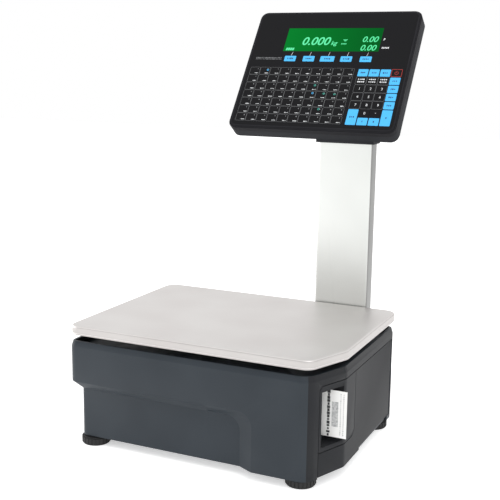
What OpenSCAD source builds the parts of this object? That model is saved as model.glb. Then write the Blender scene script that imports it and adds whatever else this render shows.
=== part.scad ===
// Label printing scale: weighing base with a side label printer, a rear post
// and a tilted display head with a membrane keypad.
// X runs to the right, Y towards the back and Z up; the front of the base faces -Y.
// The parts are drawn from the front edge of the platter, then moved to the origin.

/* [Platter] */
// Width of the weighing platter
platter_w = 380; // [360:1:420]
// Depth of the weighing platter
platter_d = 285; // [270:1:310]
// Height of the weighing surface above the table
platter_top = 171; // [168:1:190]
// Height of the folded lip
lip_h = 12.4; // [10:0.2:14]
// Thickness of the stainless sheet
sheet_t = 1.2; // [0.8:0.1:2]
// Corner radius of the platter
platter_r = 17; // [8:1:20]
// How far the front right corner is cut back across the width
taper_w = 26; // [20:1:30]
// How far the front right corner is cut back along the side
taper_d = 65.5; // [60:0.5:75]

/* [Base] */
// Gap between the platter edge and the casing wall, seen from above
casing_inset = 1; // [0.5:0.5:3]
// Wall thickness of the mouldings
wall = 2.5; // [2:0.1:3]
// Underside of the casing above the table
casing_z = 12.5; // [12:0.5:14]
// Height of the groove between the casing and the side parts
groove_z = 134; // [130:1:138]
// Height of the rim around the deck
rim_z = 149.3; // [147:0.1:152]
// Upper edge of the step in the front and left walls
step_z = 92; // [86:1:96]
// How far the lower wall is set back under the step
step_d = 11; // [9:0.5:12]
// Radius of a levelling foot
foot_r = 20; // [16:0.5:20]

/* [Printer] */
// Width of the label paper
label_w = 62; // [50:1:63]
// Radius of a full roll of labels
roll_r = 42; // [30:1:42]
// How far the printed label reaches from the middle of the platter
label_reach = 196; // [192:1:205]
// Opening angle that the side door is drawn at
door_angle = 0; // [0:5:90]

/* [Post] */
// Width of the post
post_w = 82; // [70:1:90]
// Thickness of the post
post_t = 23.5; // [20:0.5:25]
// Middle of the post to the right of the platter's middle
post_x = 100.3; // [90:0.1:104]

/* [Display head] */
// Width of the display head
head_w = 260; // [250:1:280]
// Height of the display head along its slope
head_h = 213.5; // [212:0.5:225]
// Thickness of the display head
head_t = 28; // [27:1:32]
// How far the display head leans back
head_tilt = 35.5; // [32:0.5:38]
// Middle of the display face above the table
head_z = 514.8; // [510:0.1:560]

/* [Hidden] */
$fn = 48;
eps = 0.01;
corner_r = 11;
corner_steps = 6;
clear = 1;

// Platter and casing
casing_back = platter_d - 6;
right_x = platter_w / 2 - casing_inset;
rim_inset = 3.5;
rim_start = rim_z - 7.5;
rim_width = 3.5;
deck_z = 140;
taper_l = sqrt(taper_w * taper_w + taper_d * taper_d);
platter_bottom = platter_top - lip_h;
step_slope = 12;
step_lap = 0.03;
bulge_x = 87;
bulge_slope = 21;
bulge_r = 20;
floor_t = 3;

// Side opening: the outlet bezel in front and the door behind it
part_y = 19;
part_r = 7;
door_back = 262;
door_z = 14.5;
door_grip_z = 19.5;
door_grip_y = 128;
bezel_y = 103;
bezel_z = 47;
knuckle_r = 3.5;
hinge = [right_x - knuckle_r, door_back];
hinge_pin_r = 1.5;
door_top = groove_z - clear;

// Label path, seen from above
label_y = 50;
label_t = 0.25;
label_mid_z = 90.5;
outlet_y0 = 23.5;
outlet_y1 = 62;
outlet_z0 = 52.5;
outlet_z1 = 125.5;
pocket_x = 163.5;
shelf_z = 45;
shelf_t = 2;
shelf_x0 = 94;
shelf_top = shelf_z + shelf_t;
roll_c = [137, 212];
core_r = 20;
spindle_r = 5;
shaft_r = 3;
run = 0.05;
platen_r = 8;
platen_c = [146, label_y + platen_r + 0.4];
gear_m = 1;
pinion_teeth = 12;
platen_teeth = 16;
motor_angle = 147;
gear_gap = gear_m * (pinion_teeth + platen_teeth) / 2;
motor_c = platen_c + gear_gap * [cos(motor_angle), sin(motor_angle)];
motor_r = 17.5;
gear_t = 5;
gear_z = shelf_top + 1.5;
pulley_r = 5.25;
rewind_pulley_r = 1.5 * pulley_r;
rewind_c = [155, 89];
rewind_r = 7.5;
rewind_full_r = 1.5 * platen_r;
pulley_z = gear_z + gear_t + 0.8;
pulley_t = 3;
top_plate_z = 127;
lever_c = [106, 36];
lever_pin_r = 2.5;
guide_r = 4;
web_gap = guide_r + 0.35;
guides = [[156, 136], [126, label_y + web_gap]];
peel_r = 1.6;
peel_c = [155, label_y + peel_r + 0.4];
liner_gap = 0.3;

// Weighing cell
cell_l = 130;
cell_w = 30;
cell_h = 24;
cell_z = 52;
cell_y = platter_d / 2;
cell_bolt_x = 52;
frame_z = 152;
frame_t = 9;
pad_t = platter_top - sheet_t - frame_z - frame_t;
pad_x = 145;
pad_y = 100;

// Feet
foot_h = 11;
foot_front = 26;
foot_back = 250;
foot_left_x = -162.5;
foot_right_x = 145.6;
foot_rear_right = [168, 258];
stud_r = 4;
foot_spots = [[foot_left_x, foot_front], [foot_right_x, foot_front],
              [foot_left_x, foot_back], foot_rear_right];

// Post and its shroud
post_y = 288.7;
post_wall = 2;
post_z = 22;
post_top = 438;
shroud_w = 112;
shroud_d = 44;
shroud_top = 149;

// Display head, drawn flat with its face up and then leaned back
head_y = 321;
head_r = 12;
head_x = 52.3;
split_w = -11;
face_t = 2.5;
overlay_t = 0.5;
overlay_margin = 5;
lcd_w = 152;
lcd_h = 43;
lcd_v = 56.5;
key_pitch = [16.8, 13.9];
key_grid = [10, 7];
pad_keys = [4, 7];
pad_pitch = 16.9;
grid_u0 = -121.1;
grid_v0 = -92.3;
pad_u0 = 52.2;
board_w = -8;
board_t = 1.6;
neck_z = 411.5;
neck_wall = 3;

head_edge = 1;
// The shell lies a little left of and above the middle of the keypad
shell_shift = [-1.1, 3.3];

// Limits of the whole object, which set its origin
front_y = 0;
back_y = head_y + (head_h / 2 - head_edge + shell_shift[1]) * sin(head_tilt)
         + (head_t - head_edge) * cos(head_tilt);
origin = [(label_reach - platter_w / 2) / 2, (front_y + back_y) / 2, 0];

casing_grey = "#4b535c";
black_plastic = "#202124";
steel = "#c9c9c6";
alloy = "#b4b8ba";
paper_white = "#f2f1ec";
board_green = "#1f6b45";

// ---- outlines ----

function unit(v) = v / norm(v);
function turn(a, b) = ((b - a + 540) % 360) - 180;
function heading(v) = atan2(v[1], v[0]);

// Points of an arc that rounds corner q between the points p and s
function rounded(p, q, s, r) = let(
    a = unit(p - q),
    b = unit(s - q),
    half = acos(a * b) / 2,
    c = q + unit(a + b) * r / sin(half),
    from = heading(q + a * r / tan(half) - c),
    to = heading(q + b * r / tan(half) - c))
    [for (i = [0:corner_steps]) c + r * [cos(from + turn(from, to) * i / corner_steps),
                                         sin(from + turn(from, to) * i / corner_steps)]];

function round_all(p, r) = let(n = len(p))
    [for (i = [0:n - 1]) each rounded(p[(i + n - 1) % n], p[i], p[(i + 1) % n], r[i])];

// The plan with its cut-back front right corner, shrunk by a distance on each side
function plan(left, front, right, back) = [
    [-platter_w / 2 + left, front],
    [platter_w / 2 - taper_w + (taper_w * front - taper_l * right) / taper_d, front],
    [platter_w / 2 - right, taper_d + right * (taper_l - taper_d) / taper_w],
    [platter_w / 2 - right, back],
    [-platter_w / 2 + left, back]];

module even_plan(inset, back) {
    r = max(corner_r - inset + casing_inset, 3);
    polygon(round_all(plan(inset, inset, inset, back), [r, r + 10, r + 8, r, r]));
}

module low_plan(extra) {
    inset = casing_inset + step_d + extra;
    side = casing_inset + extra;
    r = 9 - extra;
    polygon(round_all(plan(inset, inset, side, casing_back - extra), [r, r + 8, r + 8, r, r]));
}

module rounded_box(size, r) {
    linear_extrude(size[2]) polygon(round_all(
        [[0, 0], [size[0], 0], [size[0], size[1]], [0, size[1]]], [r, r, r, r]));
}

module slab(from, to) {
    translate([0, 0, from]) linear_extrude(to - from) children();
}

module post_at(p, from, to, r) {
    translate([p[0], p[1], from]) cylinder(r = r, h = to - from);
}

module tube(p, from, to, outer, inner) {
    difference() {
        post_at(p, from, to, outer);
        post_at(p, from - 1, to + 1, inner);
    }
}

module on_head() {
    translate([head_x, head_y, head_z]) rotate([90 - head_tilt, 0, 0]) children();
}

module at_origin() {
    translate(-origin) children();
}

// ---- casing ----

// Step in the front wall: a pocket that ends in a slanted face at its right
module step_cut() {
    hull() {
        step_face(casing_inset - 1, bulge_slope / step_d, step_slope / step_d);
        step_face(casing_inset + step_d - step_lap, 0, 0);
    }
}

module step_face(y, grow_x, grow_z) {
    far = (casing_inset + step_d - y);
    x = bulge_x - bulge_slope + far * grow_x;
    z = step_z - step_slope - step_lap + far * grow_z;
    r = bulge_r;
    translate([0, y, 0]) rotate([90, 0, 0]) linear_extrude(eps) polygon(concat(
        [[-platter_w, -5], [x, -5]],
        [for (i = [0:corner_steps]) [x - r + r * cos(90 * i / corner_steps),
                                     z - r + r * sin(90 * i / corner_steps)]],
        [[-platter_w, z]]));
}

module casing_outside() {
    slab(step_z, rim_start) even_plan(casing_inset, casing_back);
    hull() {
        slab(rim_start - eps, rim_start) even_plan(casing_inset, casing_back);
        slab(rim_z - eps, rim_z) even_plan(rim_inset, casing_back - 2);
    }
    slab(casing_z, step_z - step_slope) low_plan(0);
    hull() {
        slab(step_z - step_slope - eps, step_z - step_slope) low_plan(0);
        slab(step_z, step_z + eps) even_plan(casing_inset, casing_back);
    }
    difference() {
        slab(casing_z, step_z + 2) intersection() {
            even_plan(casing_inset, casing_back);
            translate([20, -20]) square([platter_w, platter_d + 40]);
        }
        step_cut();
    }
}

module casing_inside() {
    slab(step_z + wall, deck_z - wall) even_plan(casing_inset + wall, casing_back - wall);
    slab(casing_z - 1, step_z + wall + eps) low_plan(wall);
    slab(casing_z - 1, step_z + wall + eps) intersection() {
        even_plan(casing_inset + wall, casing_back - wall);
        translate([bulge_x + wall, -20]) square([platter_w, platter_d + 40]);
    }
}

// Everything to the right of the front parting line, below the groove
module side_opening() {
    back = hinge[1] + knuckle_r + clear;
    translate([120, 0, 0]) rotate([90, 0, 90]) linear_extrude(platter_w) polygon(concat(
        [[part_y, -1], [back, -1], [back, groove_z]],
        rounded([back, groove_z], [part_y, groove_z], [part_y, -1], part_r)));
}

module upper_casing() {
    color(casing_grey) difference() {
        union() {
            difference() {
                casing_outside();
                casing_inside();
                side_opening();
            }
            translate([hinge[0], hinge[1], groove_z]) cylinder(r = 3.2, h = 5);
            for (p = screw_spots) tube(p, 26, deck_z - 1, 4.5, 1.6);
        }
        // the deck lies below the rim
        slab(deck_z, rim_z + 1) even_plan(rim_inset + rim_width, casing_back - 2 - rim_width);
        // opening for the block that carries the platter frame
        translate([cell_l / 2 - 46, cell_y - 30, deck_z - 10]) rounded_box([56, 60, 20], 6);
        post_at(level_spot, deck_z - 10, deck_z + 5, 12.3);
        for (p = stop_spots) post_at(p, deck_z - 10, deck_z + 5, 8);
        post_at(hinge, groove_z - 1, groove_z + 4, hinge_pin_r);
        // connector opening in the rear wall
        translate([plate_x, casing_back - 6, plate_z]) cube([plate_w, 12, plate_h]);
        // way out for the post's tongue and its cable
        translate([post_x - 51, casing_back - 6, 0]) cube([102, 12, bracket_z + bracket_t + 1]);
        translate([post_x - 8, casing_back - 6, cable_z - 6]) cube([16, 12, 12]);
    }
}

// The stops stand under the arms of the platter frame
stop_share = 0.42;
plate_x = -150;
plate_z = 36;
plate_w = 170;
plate_h = 62;
level_spot = [-150, 245];
stop_spots = [for (x = [-1, 1], y = [-1, 1]) [x * pad_x * stop_share, cell_y + y * pad_y * stop_share]];
screw_spots = [[-168, 140], [-60, 24], [34, 255], [-168, 266.5]];
bracket_z = casing_z + 5.5;
bracket_t = 4;
cable_z = 105;

module base_pan() {
    color(casing_grey) difference() {
        union() {
            slab(casing_z + 0.5, casing_z + 0.5 + floor_t) low_plan(wall + 1);
            // rim that stiffens the floor
            slab(casing_z + 0.5, 24) difference() {
                low_plan(wall + 1);
                low_plan(2 * wall + 1);
            }
            translate([bulge_x + wall + 1, casing_inset + wall + 1, casing_z + 0.5])
                cube([60, 16, floor_t]);
            for (p = foot_spots) post_at(p, casing_z + 0.5, 27, 11);
            for (p = screw_spots) post_at(p, casing_z + 1, 26, 5.5);
            translate([-cell_l / 2 - 5, cell_y - 22, casing_z + 1]) cube([50, 44, 8]);
            // tongue that carries the post
            translate([post_x - 50, casing_back - 20, casing_z + 0.5])
                cube([100, 58, 5]);
            translate([hinge[0] - 5, hinge[1] - 7, casing_z + 0.5]) cube([9, 10, 6]);
            for (y = [70, 214]) translate([-150, y, casing_z + 1]) cube([260, 2, 6.5]);
        }
        // seat of the post's bracket, and room for the door's knuckle
        translate([post_x - 44.5, casing_back - 18.5, bracket_z]) cube([89, 60, 20]);
        post_at(hinge, door_grip_z - 0.4, 40, knuckle_r + clear);
        for (p = foot_spots) post_at(p, 0, 40, stud_r + run);
        for (p = screw_spots) post_at(p, 0, 40, 2.1);
        for (p = screw_spots) post_at(p, 0, 16.5, 4);
        post_at(hinge, 0, 40, hinge_pin_r);
        for (p = bolt_spots) post_at(p, 0, 40, bolt_r);
        for (p = cell_bolts) post_at(p, 0, 17, 5);
        // ventilation slots under the power supply
        for (i = [0:7]) translate([-120 + i * 9, 225, 0]) cube([4, 25, 30]);
    }
}

bolt_r = 2.5;
cell_bolts = [for (x = [-60, -44]) [x, cell_y]];
bracket_bolts = [for (x = [-1, 1]) [post_x + x * 32, casing_back - 8]];
bolt_spots = concat(cell_bolts, bracket_bolts);

module side_wall(from, to, y0, y1) {
    intersection() {
        difference() {
            slab(from, to) even_plan(casing_inset, casing_back);
            slab(from - 1, to + 1) even_plan(casing_inset + wall, casing_back - wall);
        }
        translate([120, y0, from]) cube([platter_w, y1 - y0, to - from]);
    }
}

module printer_door() {
    color(casing_grey) translate([hinge[0], hinge[1], 0]) rotate([0, 0, door_angle])
    translate([-hinge[0], -hinge[1], 0]) difference() {
        union() {
            difference() {
                side_wall(door_z, door_top, part_y + clear, door_back);
                // room for the outlet bezel, with its cut lower corner
                translate([120, part_y - 1, bezel_z - clear]) rotate([90, 0, 90])
                    linear_extrude(100) polygon([
                        [0, 0], [bezel_y - part_y - 6, 0], [bezel_y - part_y + 1 + clear, 7],
                        [bezel_y - part_y + 1 + clear, 100], [0, 100]]);
                translate([120, door_grip_y, 0]) cube([100, 200, door_grip_z]);
            }
            post_at(hinge, door_grip_z, door_top, knuckle_r);
            // stiffening ribs and the latch hook inside
            for (z = [30, 70, 110]) translate([right_x - wall - 5, bezel_y + 12, z])
                cube([5.5, 140, 2]);
            translate([right_x - wall - 9, bezel_y + 4, 84]) cube([9.5, 6, 14]);
        }
        post_at(hinge, 0, 200, hinge_pin_r + run);
    }
}

// Side view of the outlet bezel: its upper front corner is round
module bezel_face() {
    front = part_y + clear;
    translate([120, 0, 0]) rotate([90, 0, 90]) linear_extrude(100) polygon(concat(
        [[front, bezel_z], [bezel_y - 7, bezel_z], [bezel_y, bezel_z + 7], [bezel_y, door_top]],
        rounded([bezel_y, door_top], [front, door_top], [front, bezel_z], part_r - clear)));
}

// The fixed panel with the recessed label outlet
module outlet_bezel() {
    color(casing_grey) difference() {
        union() {
            intersection() {
                side_wall(bezel_z, door_top, part_y + clear, bezel_y);
                bezel_face();
            }
            // walls of the pocket behind the outlet
            intersection() {
                translate([pocket_x - 2, outlet_y0 - 2, outlet_z0 - 2])
                    cube([40, outlet_y1 - outlet_y0 + 4, outlet_z1 - outlet_z0 + 4]);
                slab(0, 200) even_plan(casing_inset + eps, casing_back);
            }
            // lugs that hang the bezel on the printer frame
            for (z = [shelf_top, top_plate_z + 2]) translate([right_x - wall - 14, 84, z])
                cube([14.5, 12, 4]);
        }
        translate([pocket_x, outlet_y0, outlet_z0])
            cube([40, outlet_y1 - outlet_y0, outlet_z1 - outlet_z0]);
        translate([pocket_x - 5, label_y - 2.2, label_mid_z - label_w / 2 - 1])
            cube([10, 4.6, label_w + 2]);
        for (z = [0, 200]) translate([right_x - 10, 90, z - 1]) cylinder(r = 1.6, h = 202);
    }
}

module post_shroud() {
    color(casing_grey) difference() {
        union() {
            translate([post_x - shroud_w / 2, casing_back, 19])
                rounded_box([shroud_w, shroud_d, shroud_top - 19], 6);
            translate([post_x - shroud_w / 2, casing_back, 19])
                cube([shroud_w, 8, shroud_top - 22]);
        }
        translate([post_x - shroud_w / 2 + wall, casing_back - 1, 10])
            cube([shroud_w - 2 * wall, shroud_d - wall + 1, shroud_top - wall - 10]);
        translate([post_x - post_w / 2 - 0.4, post_y - 0.4, 10])
            cube([post_w + 0.8, post_t + 0.8, 200]);
    }
}

// ---- connectors, seen on the rear wall ----

module connector_plate() {
    color(steel) difference() {
        union() {
            translate([plate_x - 5, casing_back - wall - 1.5, plate_z - 5])
                cube([plate_w + 10, 1.5, plate_h + 10]);
            // folded shelf that carries the power supply
            translate([plate_x - 5, casing_back - wall - 26, plate_z - 6.5])
                cube([plate_w + 10, 26, 1.5]);
        }
        translate([inlet_x - 24, casing_back - 10, inlet_z - 14]) cube([48, 20, 28]);
        for (row = socket_rows) translate([row_x, casing_back - 10, row[0]])
            cube([row_w, 20, row[1]]);
    }
}

inlet_x = -118;
inlet_z = 66;
rocker_x = inlet_x + 34;
rocker_w = 13;
rocker_h = 21;
// Rows of sockets that stand side by side: lower edge and height
row_x = -72;
row_w = 84;
socket_rows = [[44, 13], [70, 14]];
// Each socket: row, left end and width of its body, width and height of its mouth
sockets = [[0, 0, 42, 28, 9.8], [0, 42, 42, 28, 9.8], [1, 0, 22, 12.2, 9.4], [1, 22, 22, 12.2, 9.4],
           [1, 44, 22, 13, 6], [1, 66, 18, 9, 9]];

module power_inlet() {
    color(black_plastic) difference() {
        union() {
            translate([inlet_x - 27, casing_back - wall, inlet_z - 16]) cube([54, 3.2, 32]);
            translate([inlet_x - 23.5, casing_back - 30, inlet_z - 13.5]) cube([47, 30, 27]);
        }
        translate([inlet_x - 20, casing_back - 16, inlet_z - 8]) cube([27, 30, 16]);
        // pocket for the rocker
        translate([inlet_x + 9, casing_back - 12, inlet_z - rocker_h / 2 - 0.5])
            cube([rocker_w + 1, 30, rocker_h + 1]);
    }
    color(steel) for (i = [-1, 0, 1]) translate([inlet_x - 7.5 + i * 7, casing_back - 16.5, inlet_z - 1])
        cube([2, 14, i == 0 ? 4 : 3]);
}

rocker_c = [inlet_x + 9.5 + rocker_w / 2, casing_back - 3.5, inlet_z];

module power_rocker() {
    color("#a3201c") translate(rocker_c) rotate([0, 90, 0]) {
        translate([0, 0, -rocker_w / 2]) linear_extrude(rocker_w) polygon([
            [-9, -2.5], [-9.4, 3.7], [0, 2.3], [9.4, 6.1], [9, -2.5], [3, -5.5], [-3, -5.5]]);
        // trunnions that it tips on
        translate([0, 0, -rocker_w / 2 - 0.3]) cylinder(r = 1.8, h = rocker_w + 0.6);
    }
}

module data_sockets() {
    for (s = sockets) color(black_plastic) difference() {
        row = socket_rows[s[0]];
        translate([row_x + s[1] + 0.2, casing_back - wall - 14, row[0] + 0.2])
            cube([s[2] - 0.4, 14 + wall - 0.4, row[1] - 0.4]);
        translate([row_x + s[1] + (s[2] - s[3]) / 2, casing_back - wall - 8, row[0] + (row[1] - s[4]) / 2])
            cube([s[3], 14, s[4]]);
    }
}

module main_board() {
    color(board_green) translate([-150, 84, 34]) cube([60, 126, 1.6]);
    color(black_plastic) for (p = [[-140, 100], [-140, 150]])
        translate([p[0], p[1], 35.6]) cube([24, 24, 3]);
    color(steel) for (y = [96, 198]) post_at([-146, y], casing_z + 3.5, 34, 2.5);
    color(steel) for (y = [96, 198]) post_at([-96, y], casing_z + 3.5, 34, 2.5);
    color(black_plastic) for (i = [0:3]) translate([-104, 92 + i * 26, 35.6]) cube([10, 18, 9]);
}

module power_supply() {
    color(alloy) translate([-60, 196, 29.5 - 9]) difference() {
        cube([112, 50, 30]);
        translate([1, 1, 1]) cube([110, 48, 30]);
    }
    color(board_green) translate([-58, 198, 25]) cube([108, 46, 1.6]);
    color(black_plastic) for (i = [0:2]) translate([-50 + i * 30, 206, 26.6]) cube([22, 26, 16]);
    color(alloy) for (x = [-60, 40]) translate([x, 200, casing_z + 3.5]) cube([12, 12, 4.6]);
}

// ---- weighing parts ----

// The two joined round windows that let the middle of the cell bend
module cell_window(x) {
    translate([x, -1, cell_h / 2]) rotate([-90, 0, 0]) cylinder(r = 8, h = cell_w + 2);
}

module load_cell() {
    color(alloy) translate([-cell_l / 2, cell_y - cell_w / 2, cell_z]) difference() {
        cube([cell_l, cell_w, cell_h]);
        cell_window(cell_l / 2 - 14);
        cell_window(cell_l / 2 + 14);
        translate([cell_l / 2 - 14, -1, cell_h / 2 - 3]) cube([28, cell_w + 2, 6]);
        for (x = [5, 21, cell_l - 21, cell_l - 5])
            translate([x, cell_w / 2, -1]) cylinder(r = bolt_r, h = cell_h + 2);
    }
}

module cell_base_block() {
    color(alloy) difference() {
        translate([-cell_l / 2, cell_y - cell_w / 2 - 3, casing_z + 9])
            cube([34, cell_w + 6, cell_z - casing_z - 9]);
        for (p = cell_bolts) post_at(p, 0, 60, bolt_r);
    }
}

module cell_top_block() {
    color(alloy) difference() {
        union() {
            translate([cell_l / 2 - 34, cell_y - cell_w / 2, cell_z + cell_h])
                cube([34, cell_w, 8]);
            translate([cell_l / 2 - 30, cell_y - 12, cell_z + cell_h + 8])
                cube([26, 24, frame_z - cell_z - cell_h - 8]);
        }
        for (p = cell_bolts) post_at([-p[0], p[1]], 60, cell_z + cell_h + 7, bolt_r);
        for (p = frame_bolts) post_at(p, frame_z - 14, 200, bolt_r);
    }
}

frame_bolts = [for (y = [-6, 6]) [cell_l / 2 - 17, cell_y + y]];

// Cast cross that carries the platter on four pads
module platter_frame() {
    color(alloy) difference() {
        union() {
            for (s = [-1, 1]) translate([0, cell_y, frame_z]) rotate([0, 0, s * atan(pad_y / pad_x)])
                translate([-norm([pad_x, pad_y]), -9, 0]) cube([2 * norm([pad_x, pad_y]), 18, frame_t]);
            translate([-70, cell_y - 40, frame_z]) rounded_box([140, 80, frame_t - 2], 10);
            for (x = [-1, 1], y = [-1, 1])
                post_at([x * pad_x, cell_y + y * pad_y], frame_z, frame_z + frame_t, 14);
        }
        for (p = frame_bolts) post_at(p, 100, 200, bolt_r);
        translate([-50, cell_y - 24, frame_z - 1]) rounded_box([60, 16, 20], 5);
        translate([-50, cell_y + 8, frame_z - 1]) rounded_box([60, 16, 20], 5);
    }
}

module platter_pads() {
    color(black_plastic) for (x = [-1, 1], y = [-1, 1])
        post_at([x * pad_x, cell_y + y * pad_y], frame_z + frame_t, platter_top - sheet_t, 9);
}

module platter_plan(inset) {
    r = platter_r - inset;
    polygon(round_all(plan(inset, inset, inset, platter_d - inset), [r, r, r + 6, r, r]));
}

module platter() {
    bend = 2.4;
    color("#d6d3d1") difference() {
        union() {
            slab(platter_bottom, platter_top - bend) platter_plan(0);
            slab(platter_top - bend - eps, platter_top - bend / 2) platter_plan(bend * 0.14);
            slab(platter_top - bend / 2 - eps, platter_top - bend / 5) platter_plan(bend * 0.4);
            slab(platter_top - bend / 5 - eps, platter_top) platter_plan(bend * 0.75);
        }
        slab(platter_bottom - 1, platter_top - sheet_t - 1.5) platter_plan(sheet_t);
        slab(platter_top - sheet_t - 1.6, platter_top - sheet_t) platter_plan(bend + sheet_t);
    }
}

module overload_stops() {
    color(steel) for (p = stop_spots) {
        post_at(p, bridge_z - 6, frame_z - 1.2, 3);
        post_hex(p, bridge_z + bridge_t, bridge_z + bridge_t + 4, 6);
    }
    // bridge under the deck that holds the stop screws
    color(steel) for (y = [-1, 1]) difference() {
        translate([-pad_x * stop_share - 12, cell_y + y * pad_y * stop_share - 8, bridge_z])
            cube([2 * pad_x * stop_share + 24, 16, bridge_t]);
        for (p = stop_spots) post_at(p, 100, 160, 3);
    }
}

bridge_t = 3;
bridge_z = deck_z - wall - bridge_t;

module spirit_level() {
    color("#b9d46a") post_at(level_spot, deck_z - 5, deck_z + 1, 10.5);
    color(black_plastic) tube(level_spot, deck_z - 6, deck_z + 2, 12, 10.5);
}

// ---- feet ----

module foot(p) {
    color(black_plastic) difference() {
        union() {
            post_at(p, 0, 2, foot_r - 1.5);
            post_at(p, 2 - eps, foot_h - 1.5, foot_r);
            post_at(p, foot_h - 1.5 - eps, foot_h, foot_r - 2);
        }
        // grip notches round the rim
        for (i = [0:23]) translate([p[0], p[1], 2.5]) rotate([0, 0, i * 15])
            translate([foot_r - 0.8, -0.8, 0]) cube([2, 1.6, foot_h]);
    }
    color(steel) post_at(p, foot_h - eps, 38, stud_r);
}

module foot_front_left() { foot(foot_spots[0]); }
module foot_front_right() { foot(foot_spots[1]); }
module foot_rear_left() { foot(foot_spots[2]); }
module foot_rear_right() { foot(foot_spots[3]); }

module foot_nuts() {
    color(steel) for (p = foot_spots) difference() {
        post_hex(p, 27, 33, 7.5);
        post_at(p, 20, 40, stud_r + run);
    }
}

module post_hex(p, from, to, r) {
    translate([p[0], p[1], from]) cylinder(r = r, h = to - from, $fn = 6);
}

// Tapping screw with its head at the lower end
module tapping_screw() {
    translate([0, 0, -2.2]) cylinder(r = 3.4, h = 2.2);
    cylinder(r = 1.6, h = 14);
}

module shell_screws() {
    color(steel) {
        for (p = screw_spots) translate([p[0], p[1], 16.5]) tapping_screw();
        on_head() for (p = head_screw_spots) translate([p[0], p[1], -head_t]) tapping_screw();
    }
}

// Bolts of the weighing cell, the platter frame and the post's bracket
module machine_bolts() {
    color(steel) {
        for (p = cell_bolts) bolt(p, 13, cell_z + 16);
        for (p = frame_bolts) bolt(p, frame_z + frame_t + 4, frame_z - 12);
        for (p = bracket_bolts) bolt(p, bracket_z + bracket_t + 4, casing_z + 1);
        for (p = cell_bolts) post_at([-p[0], p[1]], cell_z + 6, cell_z + cell_h + 6.5, bolt_r);
    }
}

// Bolt whose head is at one height and whose point is at the other
module bolt(p, head, point) {
    h = 4;
    inner = head < point ? head + h : head - h;
    post_at(p, min(head, inner), max(head, inner), 4.5);
    post_at(p, min(inner, point), max(inner, point), bolt_r);
}

// ---- post ----

module post() {
    color(steel) translate([post_x - post_w / 2, post_y, post_z]) difference() {
        rounded_box([post_w, post_t, post_top - post_z], 2.5);
        translate([post_wall, post_wall, -1]) rounded_box(
            [post_w - 2 * post_wall, post_t - 2 * post_wall, post_top - post_z + 2], 1);
        for (x = [16, post_w - 16], z = [20, 60]) translate([x, post_t - 5, z])
            rotate([-90, 0, 0]) cylinder(r = 2.6, h = 10);
        for (x = [16, post_w - 16]) translate([x, post_t - 5, post_top - post_z - 14])
            rotate([-90, 0, 0]) cylinder(r = 2.6, h = 10);
        // cable hole, hidden by the shroud
        translate([post_w / 2, 5, cable_z - post_z]) rotate([90, 0, 0]) cylinder(r = 5, h = 10);
    }
}

// Steel channel that stands inside the post and is bolted to the base
module post_bracket() {
    gap = post_wall + 0.3;
    color(alloy) difference() {
        union() {
            translate([post_x - 44, casing_back - 18, bracket_z]) cube([88, 54, bracket_t]);
            translate([post_x - post_w / 2 + gap, post_y + gap, casing_z + 9])
                cube([post_w - 2 * gap, post_t - 2 * gap, 84]);
        }
        translate([post_x - post_w / 2 + gap + 3, post_y + gap - 1, casing_z + 12])
            cube([post_w - 2 * gap - 6, post_t - 2 * gap - 2, 100]);
        for (p = bracket_bolts) post_at(p, 0, 40, bolt_r);
        for (x = [16, post_w - 16], z = [20, 60])
            translate([post_x - post_w / 2 + x, post_y + 4, post_z + z])
                rotate([-90, 0, 0]) cylinder(r = 2.1, h = 30);
    }
}

module post_screws() {
    color(steel) {
        for (x = [16, post_w - 16], z = [20, 60])
            translate([post_x - post_w / 2 + x, post_y + post_t, post_z + z]) rotate([90, 0, 0]) {
                translate([0, 0, -2.4]) cylinder(r = 4, h = 2.4);
                cylinder(r = 2.1, h = 6);
            }
        for (x = [16, post_w - 16])
            translate([post_x - post_w / 2 + x, post_y + post_t, post_top - 14]) rotate([90, 0, 0])
                cylinder(r = 2.1, h = 6);
    }
}

// ---- printer ----

module printer_frame() {
    color(steel) difference() {
        union() {
            translate([shelf_x0, 24, shelf_z]) cube([67, 142, shelf_t]);
            translate([shelf_x0, 166 - eps, shelf_z]) cube([86, 96, shelf_t]);
            // back wall and top plate
            translate([shelf_x0 - 2, 24, shelf_z]) cube([2 + eps, 238, top_plate_z + 2 - shelf_z]);
            slab(top_plate_z, top_plate_z + 2) polygon([
                [shelf_x0 - 2, 26], [160, 26], [160, 76], [180, 76], [180, 97], [146, 97],
                [134, 82], [130, 143], [shelf_x0 - 2, 143]]);
            translate([154, 76, shelf_z]) cube([26, 20, shelf_t]);
        }
        post_at(platen_c, 0, 200, shaft_r + run);
        post_at(motor_c, 0, 60, 11);
        post_at(rewind_c, 0, 200, shaft_r + run);
        post_at(lever_c, 0, 200, lever_pin_r);
        for (p = guides) post_at(p, 0, 60, 2);
        post_at(roll_c, 0, 60, spindle_r - 1);
        for (z = [40, 120]) translate([right_x - 10, 90, z]) cylinder(r = 1.6, h = 20);
    }
}

// Pillars that stand the printer frame on the base
module frame_pillars() {
    color(alloy) for (p = [[102, 34], [102, 250], [134, 250], [102, 150]])
        post_at(p, casing_z + 3.5, shelf_z, 5);
}

module feed_motor() {
    color(black_plastic) post_at(motor_c, shelf_z - 24, shelf_z, motor_r);
    color(steel) {
        post_at(motor_c, shelf_z - 1, shelf_z + 1.5, 10.9);
        post_at(motor_c, shelf_z, gear_z + gear_t + 1, 2);
    }
}

// Spur gear with straight-sided teeth
module spur_gear(teeth, h) {
    pitch_r = gear_m * teeth / 2;
    root_r = pitch_r - 1.15 * gear_m;
    tip_r = pitch_r + 0.85 * gear_m;
    step = 360 / teeth;
    linear_extrude(h) polygon([for (i = [0:teeth - 1]) each [
        polar(root_r, (i - 0.5) * step), polar(root_r, (i - 0.28) * step),
        polar(tip_r, (i - 0.11) * step), polar(tip_r, (i + 0.11) * step),
        polar(root_r, (i + 0.28) * step)]]);
}

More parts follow.
